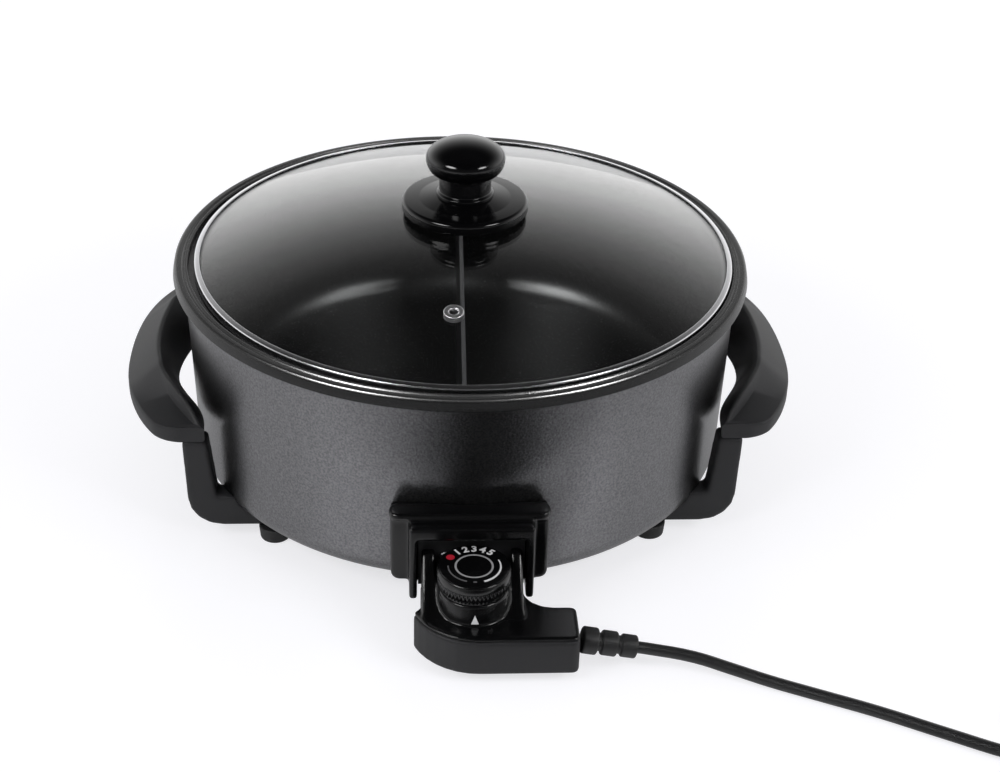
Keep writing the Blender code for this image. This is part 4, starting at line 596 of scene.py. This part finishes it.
# %% Lid glass
LID_X = 0.0016
GLASS_UNDER = 0.1469
GLASS_SHEET = 0.0032
GLASS_RADIUS = 0.1641
DOME_RISE = 0.0288
SCREW_WAY = 0.0027
VENT_FROM_MIDDLE = (-0.0098, -0.1067)
VENT_DISTANCE = hypot(*VENT_FROM_MIDDLE)
DOME_RINGS = 40
VENT_HOLE = 0.0037
DRILL_REACH = 0.01


def dome(radius):
    """Height of the glass's underside at a distance from the lid's middle."""
    return GLASS_UNDER + DOME_RISE * (1 - (radius / GLASS_RADIUS) ** 2)


under_glass = [SCREW_WAY + (GLASS_RADIUS - SCREW_WAY) * ring / DOME_RINGS
               for ring in range(DOME_RINGS + 1)]
glass_profile = [(radius, dome(radius)) for radius in under_glass]
glass_profile += [(radius, dome(radius) + GLASS_SHEET) for radius in reversed(under_glass)]
vent_lean = atan(2 * DOME_RISE * VENT_DISTANCE / GLASS_RADIUS ** 2)
vent_heading = atan2(VENT_FROM_MIDDLE[1], VENT_FROM_MIDDLE[0])
vent_turn = Matrix.Rotation(vent_heading, 4, 'Z') @ Matrix.Rotation(vent_lean, 4, 'Y')
vent_at = (LID_X + VENT_FROM_MIDDLE[0], VENT_FROM_MIDDLE[1], dome(VENT_DISTANCE))
lid_bowl = piece("glass_bowl", spun(glass_profile, 180), lid_glass_finish, "lid",
                 ["lid_glass"], at=(LID_X, 0, 0))

drill_form = spun([(0, -DRILL_REACH), (VENT_HOLE, -DRILL_REACH), (VENT_HOLE, DRILL_REACH),
                   (0, DRILL_REACH)], 32)
drill_form.transform(Matrix.Translation(at_pan(*vent_at)) @ vent_turn)
drill = stand("vent_drill", mesh_of("vent_drill", drill_form))
drilling = lid_bowl.modifiers.new("vent_hole", 'BOOLEAN')
drilling.operation = 'DIFFERENCE'
drilling.solver = 'EXACT'
drilling.object = drill
bored = lid_bowl.evaluated_get(bpy.context.evaluated_depsgraph_get())
drilled = bpy.data.meshes.new_from_object(bored)
lid_bowl.modifiers.clear()
lid_bowl.data = drilled
bpy.data.objects.remove(drill)
print("glass faces", len(drilled.polygons))

# %% [markdown]
# A strip of stainless steel is rolled round the glass edge into a channel: an
# outer wall, and two lips that grip the glass above and below. Only the rounded
# top corner shows, as the thin bright ring, so that corner gets most of the arcs.
# The vent is an eyelet: a tube whose two ends are rolled out over the glass.

# %% Lid band and vent
band_profile = filleted([
    (0.1618, 0.1466, 0.0003), (0.1618, 0.1458, 0.0003), (0.1652, 0.1458, 0.0008),
    (0.1652, 0.1514, 0.0013), (0.1618, 0.1522, 0.0004), (0.1618, 0.1512, 0.0002),
    (0.1644, 0.1505, 0.0002), (0.1644, 0.1466, 0.0002),
], closed=True, steps=5)
piece("rolled_lid_band", spun(band_profile, 180), polished, "lid", ["lid_band"],
      at=(LID_X, 0, 0))
eyelet_profile = filleted([
    (0.0024, -0.0009, 0.0002), (0.006, -0.0009, 0.0003), (0.006, -0.0003, 0.0002),
    (0.0034, -0.0003, 0), (0.0034, 0.0035, 0), (0.006, 0.0035, 0.0003), (0.0057, 0.0045, 0.0007),
    (0.0028, 0.0045, 0.001), (0.0024, 0.003, 0.0004),
], closed=True, steps=4)
piece("vent_rolled_eyelet", spun(eyelet_profile, 48), nickel, "lid",
      ["vent_eyelet"], at=vent_at, turn=vent_turn)
print("band profile points", len(band_profile))

# %% [markdown]
# The knob is two mouldings on one screw: a wide flange with a slightly dished
# top, which keeps fingers off hot glass, and a mushroom on a short neck. The
# mushroom's head is a flattened ellipse above and a quarter wave below, so its
# outline is written as those two curves rather than as a list of points.

# %% Knob and flange
FLANGE_REST = 0.1792
FLANGE_RADIUS = 0.0385
KNOB_BASE = 0.1895
NECK_RADIUS = 0.0158
KNOB_RADIUS = 0.024
WAIST = 0.2033
WIDEST = 0.2131
KNOB_TOP = 0.2243
FOOT_OF_NECK = 0.0173
SCREW_END = 0.2105
flange_profile = filleted([
    (SCREW_WAY, FLANGE_REST, 0), (FLANGE_RADIUS, FLANGE_REST, 0.002),
    (FLANGE_RADIUS, FLANGE_REST + 0.0074, 0.0026), (0.0279, 0.1874, 0.01),
    (FOOT_OF_NECK, KNOB_BASE - 0.0003, 0.0004), (SCREW_WAY, KNOB_BASE - 0.0003, 0),
], steps=8)
piece("moulded_flange", spun(flange_profile, 96), polished_phenolic, "lid",
      ["knob_flange"], at=(LID_X, 0, 0))

neck = filleted([(FOOT_OF_NECK, KNOB_BASE, 0), (FOOT_OF_NECK, KNOB_BASE + 0.0018, 0.0008),
                 (NECK_RADIUS, KNOB_BASE + 0.003, 0.0008), (NECK_RADIUS, WAIST, 0)], steps=5)
swings = [pi / 2 * step / 16 for step in range(1, 16)]
swelling = [(NECK_RADIUS + (KNOB_RADIUS - NECK_RADIUS) * sin(swing),
             WIDEST - (WIDEST - WAIST) * cos(swing)) for swing in swings]
swings = [pi / 2 * step / 22 for step in range(22)]
crown = [(KNOB_RADIUS * cos(swing), WIDEST + (KNOB_TOP - WIDEST) * sin(swing))
         for swing in swings]
knob_profile = [(0, SCREW_END), (SCREW_WAY, SCREW_END), (SCREW_WAY, KNOB_BASE)]
knob_profile += neck + swelling + crown
piece("mushroom_knob", spun(knob_profile + [(0, KNOB_TOP)], 96), polished_phenolic, "lid",
      ["lid_knob"], at=(LID_X, 0, 0))
print("knob profile points", len(knob_profile))

# %% [markdown]
# Each handle is a D-shaped loop whose section changes all the way round: flat
# over the legs, and between them a raised inner lip, a crease, and a wing that
# swings outwards. One function gives the section at any place along the loop,
# and skinning some sixty of them makes the whole handle as one surface.

# %% Handles
HALF_LOOP = 0.092
LIP_LEVEL = 0.035
END_IN = 0.154486
END_OUT = 0.178986
END_TOP = 0.0805
END_BOTTOM = 0.0705
LOOP_REACH = 0.208
LIP_OUT = 0.188
HEEL_OUT = 0.177
HEEL_BOTTOM = 0.06
WING_TOP = 0.0775
WING_EDGE = 0.006
LIP_RISE = 0.0155
CREASE_OUT = 0.003
LEG_DEEP = 0.015
END_CORNER = 0.008
EDGE_SOFT = 0.0022
LOOP_SECTIONS = 64
WING_FULLNESS = 2.2
WING_ROUNDNESS = 0.8
LIP_TURNS_IN = 1.6
LIP_DROPS = 5
CREASE_DROPS = 1.4


def between(first, second, amount):
    """A value part of the way from the first to the second."""
    return first + (second - first) * amount


def loop_section(share):
    """The handle's section; share runs from -1 at the front end to 1 at the back."""
    along = HALF_LOOP * abs(share)
    swell = (1 - abs(share) ** WING_FULLNESS) ** WING_ROUNDNESS
    arch = (1 + cos(pi * min(1, abs(share) / (1 - LEG_DEEP / HALF_LOOP)))) / 2
    past = max(0, along - LIP_LEVEL) / (HALF_LOOP - LIP_LEVEL)
    level = sqrt(LIP_OUT ** 2 - min(along, LIP_LEVEL) ** 2)
    lip = (between(END_IN, level, 1 - past ** LIP_TURNS_IN),
           END_TOP + LIP_RISE * (1 - past ** LIP_DROPS))
    turned_in = max(0, 1 - (HALF_LOOP - along) / END_CORNER)
    corner = END_CORNER * (1 - sqrt(1 - turned_in ** 2))
    wing = (between(END_OUT, LOOP_REACH, swell) - corner, between(END_TOP, WING_TOP, arch))
    edge = (wing[0], between(END_BOTTOM, WING_TOP - WING_EDGE, arch))
    heel = (between(END_IN, HEEL_OUT, arch), between(END_BOTTOM, HEEL_BOTTOM, arch))
    slope = (lip[1] - wing[1]) / (wing[0] - lip[0])
    sunk = END_TOP + LIP_RISE * (1 - past) ** CREASE_DROPS
    crease = (lip[0] + CREASE_OUT, min(lip[1] - slope * CREASE_OUT, sunk))
    return filleted([(*lip, EDGE_SOFT * 0.8), (*heel, EDGE_SOFT), (*edge, EDGE_SOFT),
                     (*wing, EDGE_SOFT), (*crease, 0)], closed=True, steps=4)


for word, side in (("left", -1), ("right", 1)):
    sections = []
    for step in range(LOOP_SECTIONS + 1):
        share = -cos(pi * step / LOOP_SECTIONS)
        sections.append([(side * x, HALF_LOOP * share, z) for x, z in loop_section(share)])
    piece("loop_handle_" + word, skinned(sections), matte_phenolic, "skillet",
          ["handle_" + word], sharp=50)
print("handle sections", LOOP_SECTIONS + 1, "of", len(sections[0]), "points")

# %% [markdown]
# The feet are plain rubber buttons pressed into the legs' bars. A soft moulding
# has no sharp rim, so the profile is rounded above and below and hollowed a
# little underneath, where it grips the table.

# %% Feet
FOOT_X = 0.1153
FOOT_Y = 0.089
FOOT_RADIUS = 0.01
FOOT_TALL = 0.0092
FOOT_HOLLOW = 0.0006
foot_profile = filleted([
    (0, FOOT_HOLLOW, 0), (0.006, FOOT_HOLLOW, 0.0004), (0.007, 0, 0.0004),
    (FOOT_RADIUS - 0.0008, 0, 0.0014), (FOOT_RADIUS, FOOT_TALL, 0.001), (0, FOOT_TALL, 0),
], steps=5)
for end_word, end in (("front", -1), ("rear", 1)):
    for word, side in (("left", -1), ("right", 1)):
        where = end_word + "_" + word
        piece("rubber_button_" + where, spun(foot_profile, 40), rubber, "skillet",
              ["foot_" + where], at=(side * FOOT_X, end * FOOT_Y, 0))
print("feet", 4)

# %% [markdown]
# The socket and the control's two halves are mouldings with soft edges and
# hollow blends where walls meet, which a CAD chamfer only hints at. A copy of
# each solid is rebuilt in even small cubes with a voxel Remesh, and a Smooth
# modifier then relaxes it by about a millimetre. Flat faces stay flat, and every
# edge and inner corner melts a little, as plastic does in its mould.

# %% Soft mouldings


def melted(node, name, body, finish, voxel, passes):
    """A softened copy of a CAD solid that stands for it; finish is a material and a slot name, and
    the slot name is not used.
    """
    material, slot = finish
    made = stand(name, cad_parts[node].data.copy())
    made.data.name = name
    made.data.materials.clear()
    made.data.materials.append(material)
    join = made.modifiers.new("join_corners", 'WELD')
    join.merge_threshold = 1e-5
    cubes = made.modifiers.new("even_cubes", 'REMESH')
    cubes.mode = 'VOXEL'
    cubes.voxel_size = voxel
    cubes.use_smooth_shade = True
    relax = made.modifiers.new("relax", 'SMOOTH')
    relax.factor = 0.5
    relax.iterations = passes
    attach(made, body)
    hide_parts(node)


GLOSS = (satin_phenolic, "gloss_black_phenolic")
MATTE = (matte_phenolic, "matte_black_phenolic")
melted("socket_shroud", "socket_moulding", "skillet", GLOSS, 0.0006, 30)
melted("control_upper_housing", "control_top_moulding", "control", GLOSS, 0.0005, 60)
melted("control_lower_housing", "control_base_moulding", "control", MATTE, 0.0006, 20)
for leg in leg_nodes:
    melted(leg, leg + "_moulding", "skillet", MATTE, 0.0012, 10)
print("softened mouldings", 3 + len(leg_nodes))

# %% [markdown]
# The dial is a round cap with a smooth upper wall, a ring of fine grip ribs
# below it, and a narrower skirt that sinks to the collar. The ribs are drawn by
# moving every second pair of points inwards, far lighter than cutting grooves.

# %% Dial
DIAL_X = 0.0015
DIAL_Y = -0.2002
DIAL_LOW = 0.0451
DIAL_TOP = 0.058
DIAL_RADIUS = 0.0207
SKIRT_RADIUS = 0.0188
RIBS = 54
dial_levels = [
    (SKIRT_RADIUS, DIAL_LOW, 0), (SKIRT_RADIUS, 0.0468, 0), (DIAL_RADIUS - 0.001, 0.0472, 0.0004),
    (DIAL_RADIUS - 0.0002, 0.0477, 0.0007), (DIAL_RADIUS - 0.0002, 0.0517, 0.0007),
    (DIAL_RADIUS - 0.0005, 0.0523, 0.0002), (DIAL_RADIUS - 0.0002, 0.0526, 0),
    (DIAL_RADIUS, 0.053, 0), (DIAL_RADIUS - 0.0001, 0.0565, 0), (DIAL_RADIUS - 0.0004, 0.0574, 0),
    (DIAL_RADIUS - 0.0011, 0.0579, 0), (DIAL_RADIUS - 0.002, DIAL_TOP, 0),
]
dial_sections = []
for radius, height, rib_depth in dial_levels:
    dial_sections.append([])
    for step in range(4 * RIBS):
        reach = radius - rib_depth * (step % 4 in (0, 1))
        angle = tau * step / (4 * RIBS)
        dial_sections[-1].append((reach * cos(angle), reach * sin(angle), height))
piece("ribbed_dial", skinned(dial_sections), satin_phenolic, "dial",
      ["dial"], at=(DIAL_X, DIAL_Y, 0), sharp=55)
print("dial ribs", RIBS)

# %% [markdown]
# The dial's face carries plain printed marks: a ring, five numbers at the back, a
# red spot for off, a thin line on the left and a widening sweep on the right that
# says hotter. The middle is left bare. The ring, the line and the sweep are all
# thin flat bands bent round the dial, so one function draws them.

# %% Marks on the dial
INK = 0.00005
RING_RADIUS = 0.0103
SPOT_RADIUS = 0.0024
SPOT_AT = (0.0154, 147)
NUMBERS_RADIUS = 0.0157
NUMBER_DEGREES = (124, 106, 88, 70, 52)


def on_dial(radius, degrees):
    """A place on the dial's face, measured from the pan's axis."""
    angle = radians(degrees)
    return DIAL_X + radius * cos(angle), DIAL_Y + radius * sin(angle), DIAL_TOP


def printed_arc(name, radius, start, end, width_start, width_end, material):
    """A thin band of ink round the dial, which may widen from one end to the other."""
    steps = max(8, round(abs(end - start) / 4))
    sections = []
    for step in range(steps + 1):
        share = step / steps
        angle = radians(between(start, end, share))
        half = between(width_start, width_end, share) / 2
        inner, outer = radius - half, radius + half
        sections.append([(reach * cos(angle), reach * sin(angle), height)
                         for reach, height in ((inner, 0), (outer, 0), (outer, INK), (inner, INK))])
    piece("dial_mark_" + name, skinned(sections), material, "dial",
          at=(DIAL_X, DIAL_Y, DIAL_TOP))


printed_arc("ring_back", RING_RADIUS, 0, 180, 0.0011, 0.0011, grey_ink)
printed_arc("ring_front", RING_RADIUS, 180, 360, 0.0011, 0.0011, grey_ink)
printed_arc("low_line", 0.0144, 177, 252, 0.0007, 0.0011, faint_ink)
printed_arc("high_sweep", 0.0148, 22, -70, 0.0007, 0.0015, white_ink)
printed_arc("front", 0.0145, -94, -86, 0.0012, 0.0012, faint_ink)
piece("dial_mark_off", spun([(0, 0), (SPOT_RADIUS, 0), (SPOT_RADIUS, INK), (0, INK)], 32), red_ink,
      "dial", at=on_dial(*SPOT_AT))

for number, degrees in enumerate(NUMBER_DEGREES, 1):
    text = bpy.data.curves.new("dial_number_%d" % number, 'FONT')
    text.body = str(number)
    text.size = 0.007
    text.offset = 0.00022
    text.align_x = text.align_y = 'CENTER'
    text.extrude = INK
    text.materials.append(white_ink)
    figure = stand("dial_number_%d" % number, text)
    figure.location = at_pan(*on_dial(NUMBERS_RADIUS, degrees))
    figure.rotation_euler = (0, 0, radians(degrees - 90))
    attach(figure, "dial")
print("dial numbers", len(NUMBER_DEGREES))

# %% [markdown]
# A small white triangle on the collar points up at the dial, to read the setting
# by. The collar is a cone, so each upright slice of the triangle is set at the
# cone's own radius for its height.

# %% Pointer on the collar
COLLAR_TOP = 0.0448
COLLAR_FOOT = 0.0319
POINTER_LOW = 0.034
POINTER_HIGH = 0.0395
POINTER_HALF = 0.0021
POINTER_STEPS = 8


def collar_radius(height):
    """Radius of the collar's cone at a height."""
    return between(0.0214, 0.0196, (height - COLLAR_FOOT) / (COLLAR_TOP - COLLAR_FOOT))


pointer_sections = []
for step in range(POINTER_STEPS + 1):
    across = -1 + 2 * step / POINTER_STEPS
    high = between(POINTER_LOW, POINTER_HIGH, 1 - abs(across)) + INK
    section = []
    for height, proud in ((POINTER_LOW, -INK), (POINTER_LOW, 3 * INK),
                          (high, 3 * INK), (high, -INK)):
        reach = collar_radius(height) + proud
        angle = POINTER_HALF * across / reach - pi / 2
        section.append((reach * cos(angle), reach * sin(angle), height))
    pointer_sections.append(section)
piece("collar_pointer", skinned(pointer_sections), white_ink, "control",
      at=(DIAL_X, DIAL_Y, 0))
print("pointer", round((POINTER_HIGH - POINTER_LOW) * 1000, 1), "mm tall")

# %% [markdown]
# The strain relief is a soft sleeve that lets the cord bend without kinking where
# it leaves the control. Its profile is a row of three fat ribs with grooves
# between, a little thinner towards the cord.

# %% Strain relief
RELIEF_LENGTH = 0.0316
RIB_LONG = 0.009
GROOVE_LONG = 0.0023
GROOVE_RADIUS = 0.0052
relief_corners = [(0, 0, 0)]
for rib, rib_radius in enumerate((0.0077, 0.00715, 0.0066)):
    start = rib * (RIB_LONG + GROOVE_LONG)
    relief_corners += [(rib_radius, start, 0.0012), (rib_radius, start + RIB_LONG, 0.0012)]
    if rib < 2:
        relief_corners += [(GROOVE_RADIUS, start + RIB_LONG, 0.0004),
                           (GROOVE_RADIUS, start + RIB_LONG + GROOVE_LONG, 0.0004)]
relief_corners.append((0, RELIEF_LENGTH, 0))
relief_turn = Matrix.Rotation(radians(90) + RELIEF_DROOP, 4, 'Y')
piece("ribbed_strain_relief", spun(filleted(relief_corners, steps=5), 40), rubber, "control",
      ["strain_relief"], at=(0.06127, -0.2179, 0.0197), turn=relief_turn)
print("strain relief", RELIEF_LENGTH * 1000, "mm")

# %% [markdown]
# A studio is a pale floor that runs out of sight and big soft lights. Light Path
# adds a glow for straight rays, so the camera sees white paper, while the floor
# lights the object at a level where a colour looks as it is written.

# %% Floor
FLOOR_HALF = 6.0
STRAIGHT_GLOW = 0.7
MIRRORED_GLOW = 0.05
form = bmesh.new()
bmesh.ops.create_grid(form, x_segments=4, y_segments=4, size=FLOOR_HALF)
floor = stand("studio_floor", mesh_of("studio_floor", form))
floor_finish, tree, shader = start_finish("white_studio_floor")
rays = put(tree, "LightPath").outputs
paper = put(tree, "MixRGB", {"Fac": rays["Is Camera Ray"], "Color1": colour("#F1F1F3"),
                             "Color2": colour("#A4A4A8")})
looked_at = reckon(tree, 'MAXIMUM', rays["Is Camera Ray"], rays["Is Transmission Ray"])
lift = reckon(tree, 'MAXIMUM', reckon(tree, 'MULTIPLY', looked_at, STRAIGHT_GLOW),
              reckon(tree, 'MULTIPLY', rays["Is Glossy Ray"], MIRRORED_GLOW))
fill(tree, shader, {"Base Color": paper, "Emission Strength": lift,
                    "Emission Color": (0.98, 0.98, 1, 1), "Roughness": 0.28})
floor.data.materials.append(floor_finish)
print("floor", 2 * FLOOR_HALF, "m across")

# %% [markdown]
# The walls of the room are the world. Straight rays see plain white. Reflected
# rays see a bright backdrop at the horizon that fades to a dark ceiling, which
# draws the long fade across the lid's glass. The steps of the fade were read off
# the lid: each place on the dome mirrors one height of the room. The end of the
# room behind the camera is dark, as the front of the knob shows. A ray that leaves
# the lid after a bounce inside the pan counts as reflected too.

# %% World
BRIGHTEST = 1.45
AMBIENT = 0.5
ROOM_STEPS = ((0.00, 1.45), (0.2, 1.38), (0.32, 1.1), (0.4, 0.84), (0.48, 0.58), (0.56, 0.36),
              (0.64, 0.16), (0.72, 0.05), (0.8, 0.015))


def grey_ramp(tree, share, steps):
    """A colour ramp whose greys are steps of (position, value)."""
    ramp = put(tree, "ValToRGB", {"Fac": share})
    elements = ramp.color_ramp.elements
    while len(elements) < len(steps):
        elements.new(0.5)
    for element, (position, value) in zip(elements, steps):
        element.position = position
        element.color = (value, value, value, 1)
    return ramp


world = bpy.data.worlds.new("studio")
bpy.context.scene.world = world
world.use_nodes = True
tree = world.node_tree
way = put(tree, "SeparateXYZ", {0: put(tree, "TexCoord").outputs["Generated"]}).outputs
fade = grey_ramp(tree, way["Z"], [(height, bright / BRIGHTEST) for height, bright in ROOM_STEPS])
dark_end = put(tree, "MapRange", {"Value": way["Y"], "From Min": -0.45, "From Max": 0.1,
                                  "To Min": 0.1, "To Max": BRIGHTEST})
room = reckon(tree, 'MULTIPLY', fade, dark_end)
rays = put(tree, "LightPath").outputs
from_gloss = reckon(tree, 'MULTIPLY', rays["Glossy Depth"], rays["Is Transmission Ray"])
mirrored = reckon(tree, 'MAXIMUM', rays["Is Glossy Ray"], from_gloss)
mirrored = reckon(tree, 'GREATER_THAN', mirrored, 0.5)
ambient = put(tree, "Mix", {"Factor": mirrored, "A": AMBIENT, "B": room})
bounced = reckon(tree, 'ADD', rays["Glossy Depth"], rays["Diffuse Depth"])
not_bounced = reckon(tree, 'LESS_THAN', bounced, 0.5)
through = reckon(tree, 'MULTIPLY', rays["Is Transmission Ray"], not_bounced)
straight = reckon(tree, 'MAXIMUM', rays["Is Camera Ray"], through)
level = put(tree, "Mix", {"Factor": straight, "A": ambient, "B": 1.0})
fill(tree, tree.nodes["Background"], {"Strength": level, "Color": (1, 1, 1, 1)})
print("room steps", len(ROOM_STEPS))

# %% [markdown]
# Two soft boxes stand in front, one to each side. Where they stand was worked out
# from the pair of highlights on the knob: each highlight's place gives the slope
# of the knob there, and so the direction that it mirrors.
#
# The lamps light the object, and a separate glowing sheet in front of each, seen
# by reflections alone, sets how large and bright the highlight is. Like the cloth
# of a real soft box it is brightest in the middle. The lid's glass is left out of
# the sheets' light, so no white patch lies on it from any side.

# %% Lamps
SHEET_GLOW = 14.0
SOFT_BOXES = (("soft_box_left", (-0.91, -0.79, 1.05), (0.85, 0.44), 8.5),
              ("soft_box_right", (0.98, -0.8, 0.96), (0.7, 0.38), 7.5))


def area_lamp(name, hung_at, shape, size, power):
    """A lamp aimed at the skillet's middle, which nobody sees through the glass."""
    data = bpy.data.lights.new(name, 'AREA')
    data.shape = shape
    data.size, data.size_y = size
    data.energy = power
    made = stand(name, data)
    made.location = at_pan(*hung_at)
    made.rotation_euler = (at_pan(0, 0, 0.1) - made.location).to_track_quat('-Z', 'Y').to_euler()
    made.visible_transmission = False
    return made


def reflected_only(name, finish, corners, like=None):
    """A flat stage piece that only reflections see, and the node tree of its new material."""
    form = bmesh.new()
    form.faces.new([form.verts.new(corner) for corner in corners])
    made = stand(name, mesh_of(name, form))
    if like:
        made.location = like.location
        made.rotation_euler = like.rotation_euler
    made.visible_camera = made.visible_diffuse = False
    made.visible_shadow = made.visible_transmission = False
    material = bpy.data.materials.new(finish)
    material.use_nodes = True
    made.data.materials.append(material)
    return made, material.node_tree


not_mirrored = bpy.data.collections.new("glass_without_sheets")
not_mirrored.objects.link(lid_bowl)
not_mirrored.collection_objects[0].light_linking.link_state = 'EXCLUDE'
for name, hung_at, (wide, tall), power in SOFT_BOXES:
    lamp = area_lamp(name, hung_at, 'RECTANGLE', (wide, tall), power)
    lamp.visible_glossy = False
    sheet, tree = reflected_only(name + "_sheet", name + "_glow", [
        (x * wide / 2, y * tall / 2, 0) for x, y in ((-1, -1), (1, -1), (1, 1), (-1, 1))], lamp)
    middle_out = put(tree, "Mapping", {"Vector": put(tree, "TexCoord").outputs["Object"],
                                       "Scale": (2 / wide, 2 / tall, 1.0)})
    falloff = put(tree, "TexGradient", {"Vector": middle_out}, gradient_type='SPHERICAL')
    strength = put(tree, "MapRange", {"Value": falloff.outputs["Fac"], "From Max": 0.4,
                                      "To Max": SHEET_GLOW}, interpolation_type='SMOOTHSTEP')
    shining = put(tree, "Emission", {"Strength": strength})
    cloth = put(tree, "AddShader", {0: shining, 1: put(tree, "BsdfTransparent")})
    fill(tree, tree.nodes["Material Output"], {"Surface": cloth})
    sheet.light_linking.receiver_collection = not_mirrored
print("soft boxes", len(SOFT_BOXES))

# %% [markdown]
# The photograph shows two soft glows on the rounded corner inside the pan. Two
# lamps high over the front light nothing but the pan, through light linking. They
# add shine only, because their diffuse light would turn the black coating grey.

# %% Lamps for the inside of the pan
PAN_LAMP_SIZE = (0.5, 0.5)
PAN_LAMP_POWER = 75.0
inside = bpy.data.collections.new("lit_by_pan_lamps")
inside.objects.link(coated_pan)
for name, across in (("pan_lamp_left", -0.63), ("pan_lamp_right", 0.66)):
    lamp = area_lamp(name, (across, -0.35, 1.25), 'DISK', PAN_LAMP_SIZE, PAN_LAMP_POWER)
    lamp.visible_diffuse = False
    lamp.light_linking.receiver_collection = inside
print("pan lamp power", PAN_LAMP_POWER, "W")

# %% [markdown]
# Two black sheets paint dark reflections. One on the floor paints a dark
# reflection on the dial's side and its collar. A second one lies over the
# control, seen from above only, and paints a dark band on the grey wall behind
# it, a painted stand-in for the control's own darker reflection and shade there.
# Reflections alone see them, and their sides fade out, so the painted band fades softly.

# %% Painted dark reflections
CARD_STEPS = ((0.00, 0.0), (0.15, 0.08), (0.28, 0.24), (0.34, 0.6), (0.4, 1.0), (0.47, 1.0),
              (0.53, 0.76), (0.59, 0.42), (0.72, 0.32), (0.84, 0.16), (1.00, 0.0))


def black_card(name, left, right, far, near, height, densest, above_only):
    """A black sheet seen by reflections only, which paints a dark reflection that fades out at both
    sides.
    """
    card, tree = reflected_only(name, name + "_face", [
        at_pan(x, y, height) for x, y in ((left, far), (right, far), (right, near), (left, near))])
    spot = put(tree, "SeparateXYZ", {0: put(tree, "TexCoord").outputs["Object"]}).outputs
    across = put(tree, "MapRange", {"Value": spot["X"], "From Min": left, "From Max": right})
    amount = grey_ramp(tree, across, [(along, dense * densest) for along, dense in CARD_STEPS])
    if above_only:
        behind = put(tree, "NewGeometry").outputs["Backfacing"]
        amount = reckon(tree, 'MULTIPLY', amount, reckon(tree, 'SUBTRACT', 1.0, behind))
    black = put(tree, "BsdfDiffuse", {"Color": colour("#000000")})
    cover = put(tree, "MixShader", {0: amount, 1: put(tree, "BsdfTransparent"), 2: black})
    fill(tree, tree.nodes["Material Output"], {"Surface": cover})
    print(card.name, "faces up", card.data.polygons[0].normal.z > 0)


# Painted dark reflections: one on the dial's side and collar, one on the wall behind the control.
black_card("painted_reflection_card_floor", -0.42, 0.62, -0.75, -0.275, 0.003, 0.95, above_only=False)
black_card("painted_reflection_card_held", -0.22, 0.33, -0.62, -0.2, 0.064, 0.84, above_only=True)

bpy.context.scene.view_settings.view_transform = 'Standard'

# %% [markdown]
# Last, the view layer is brought up to date.

# %% Update the view layer
bpy.context.view_layer.update()
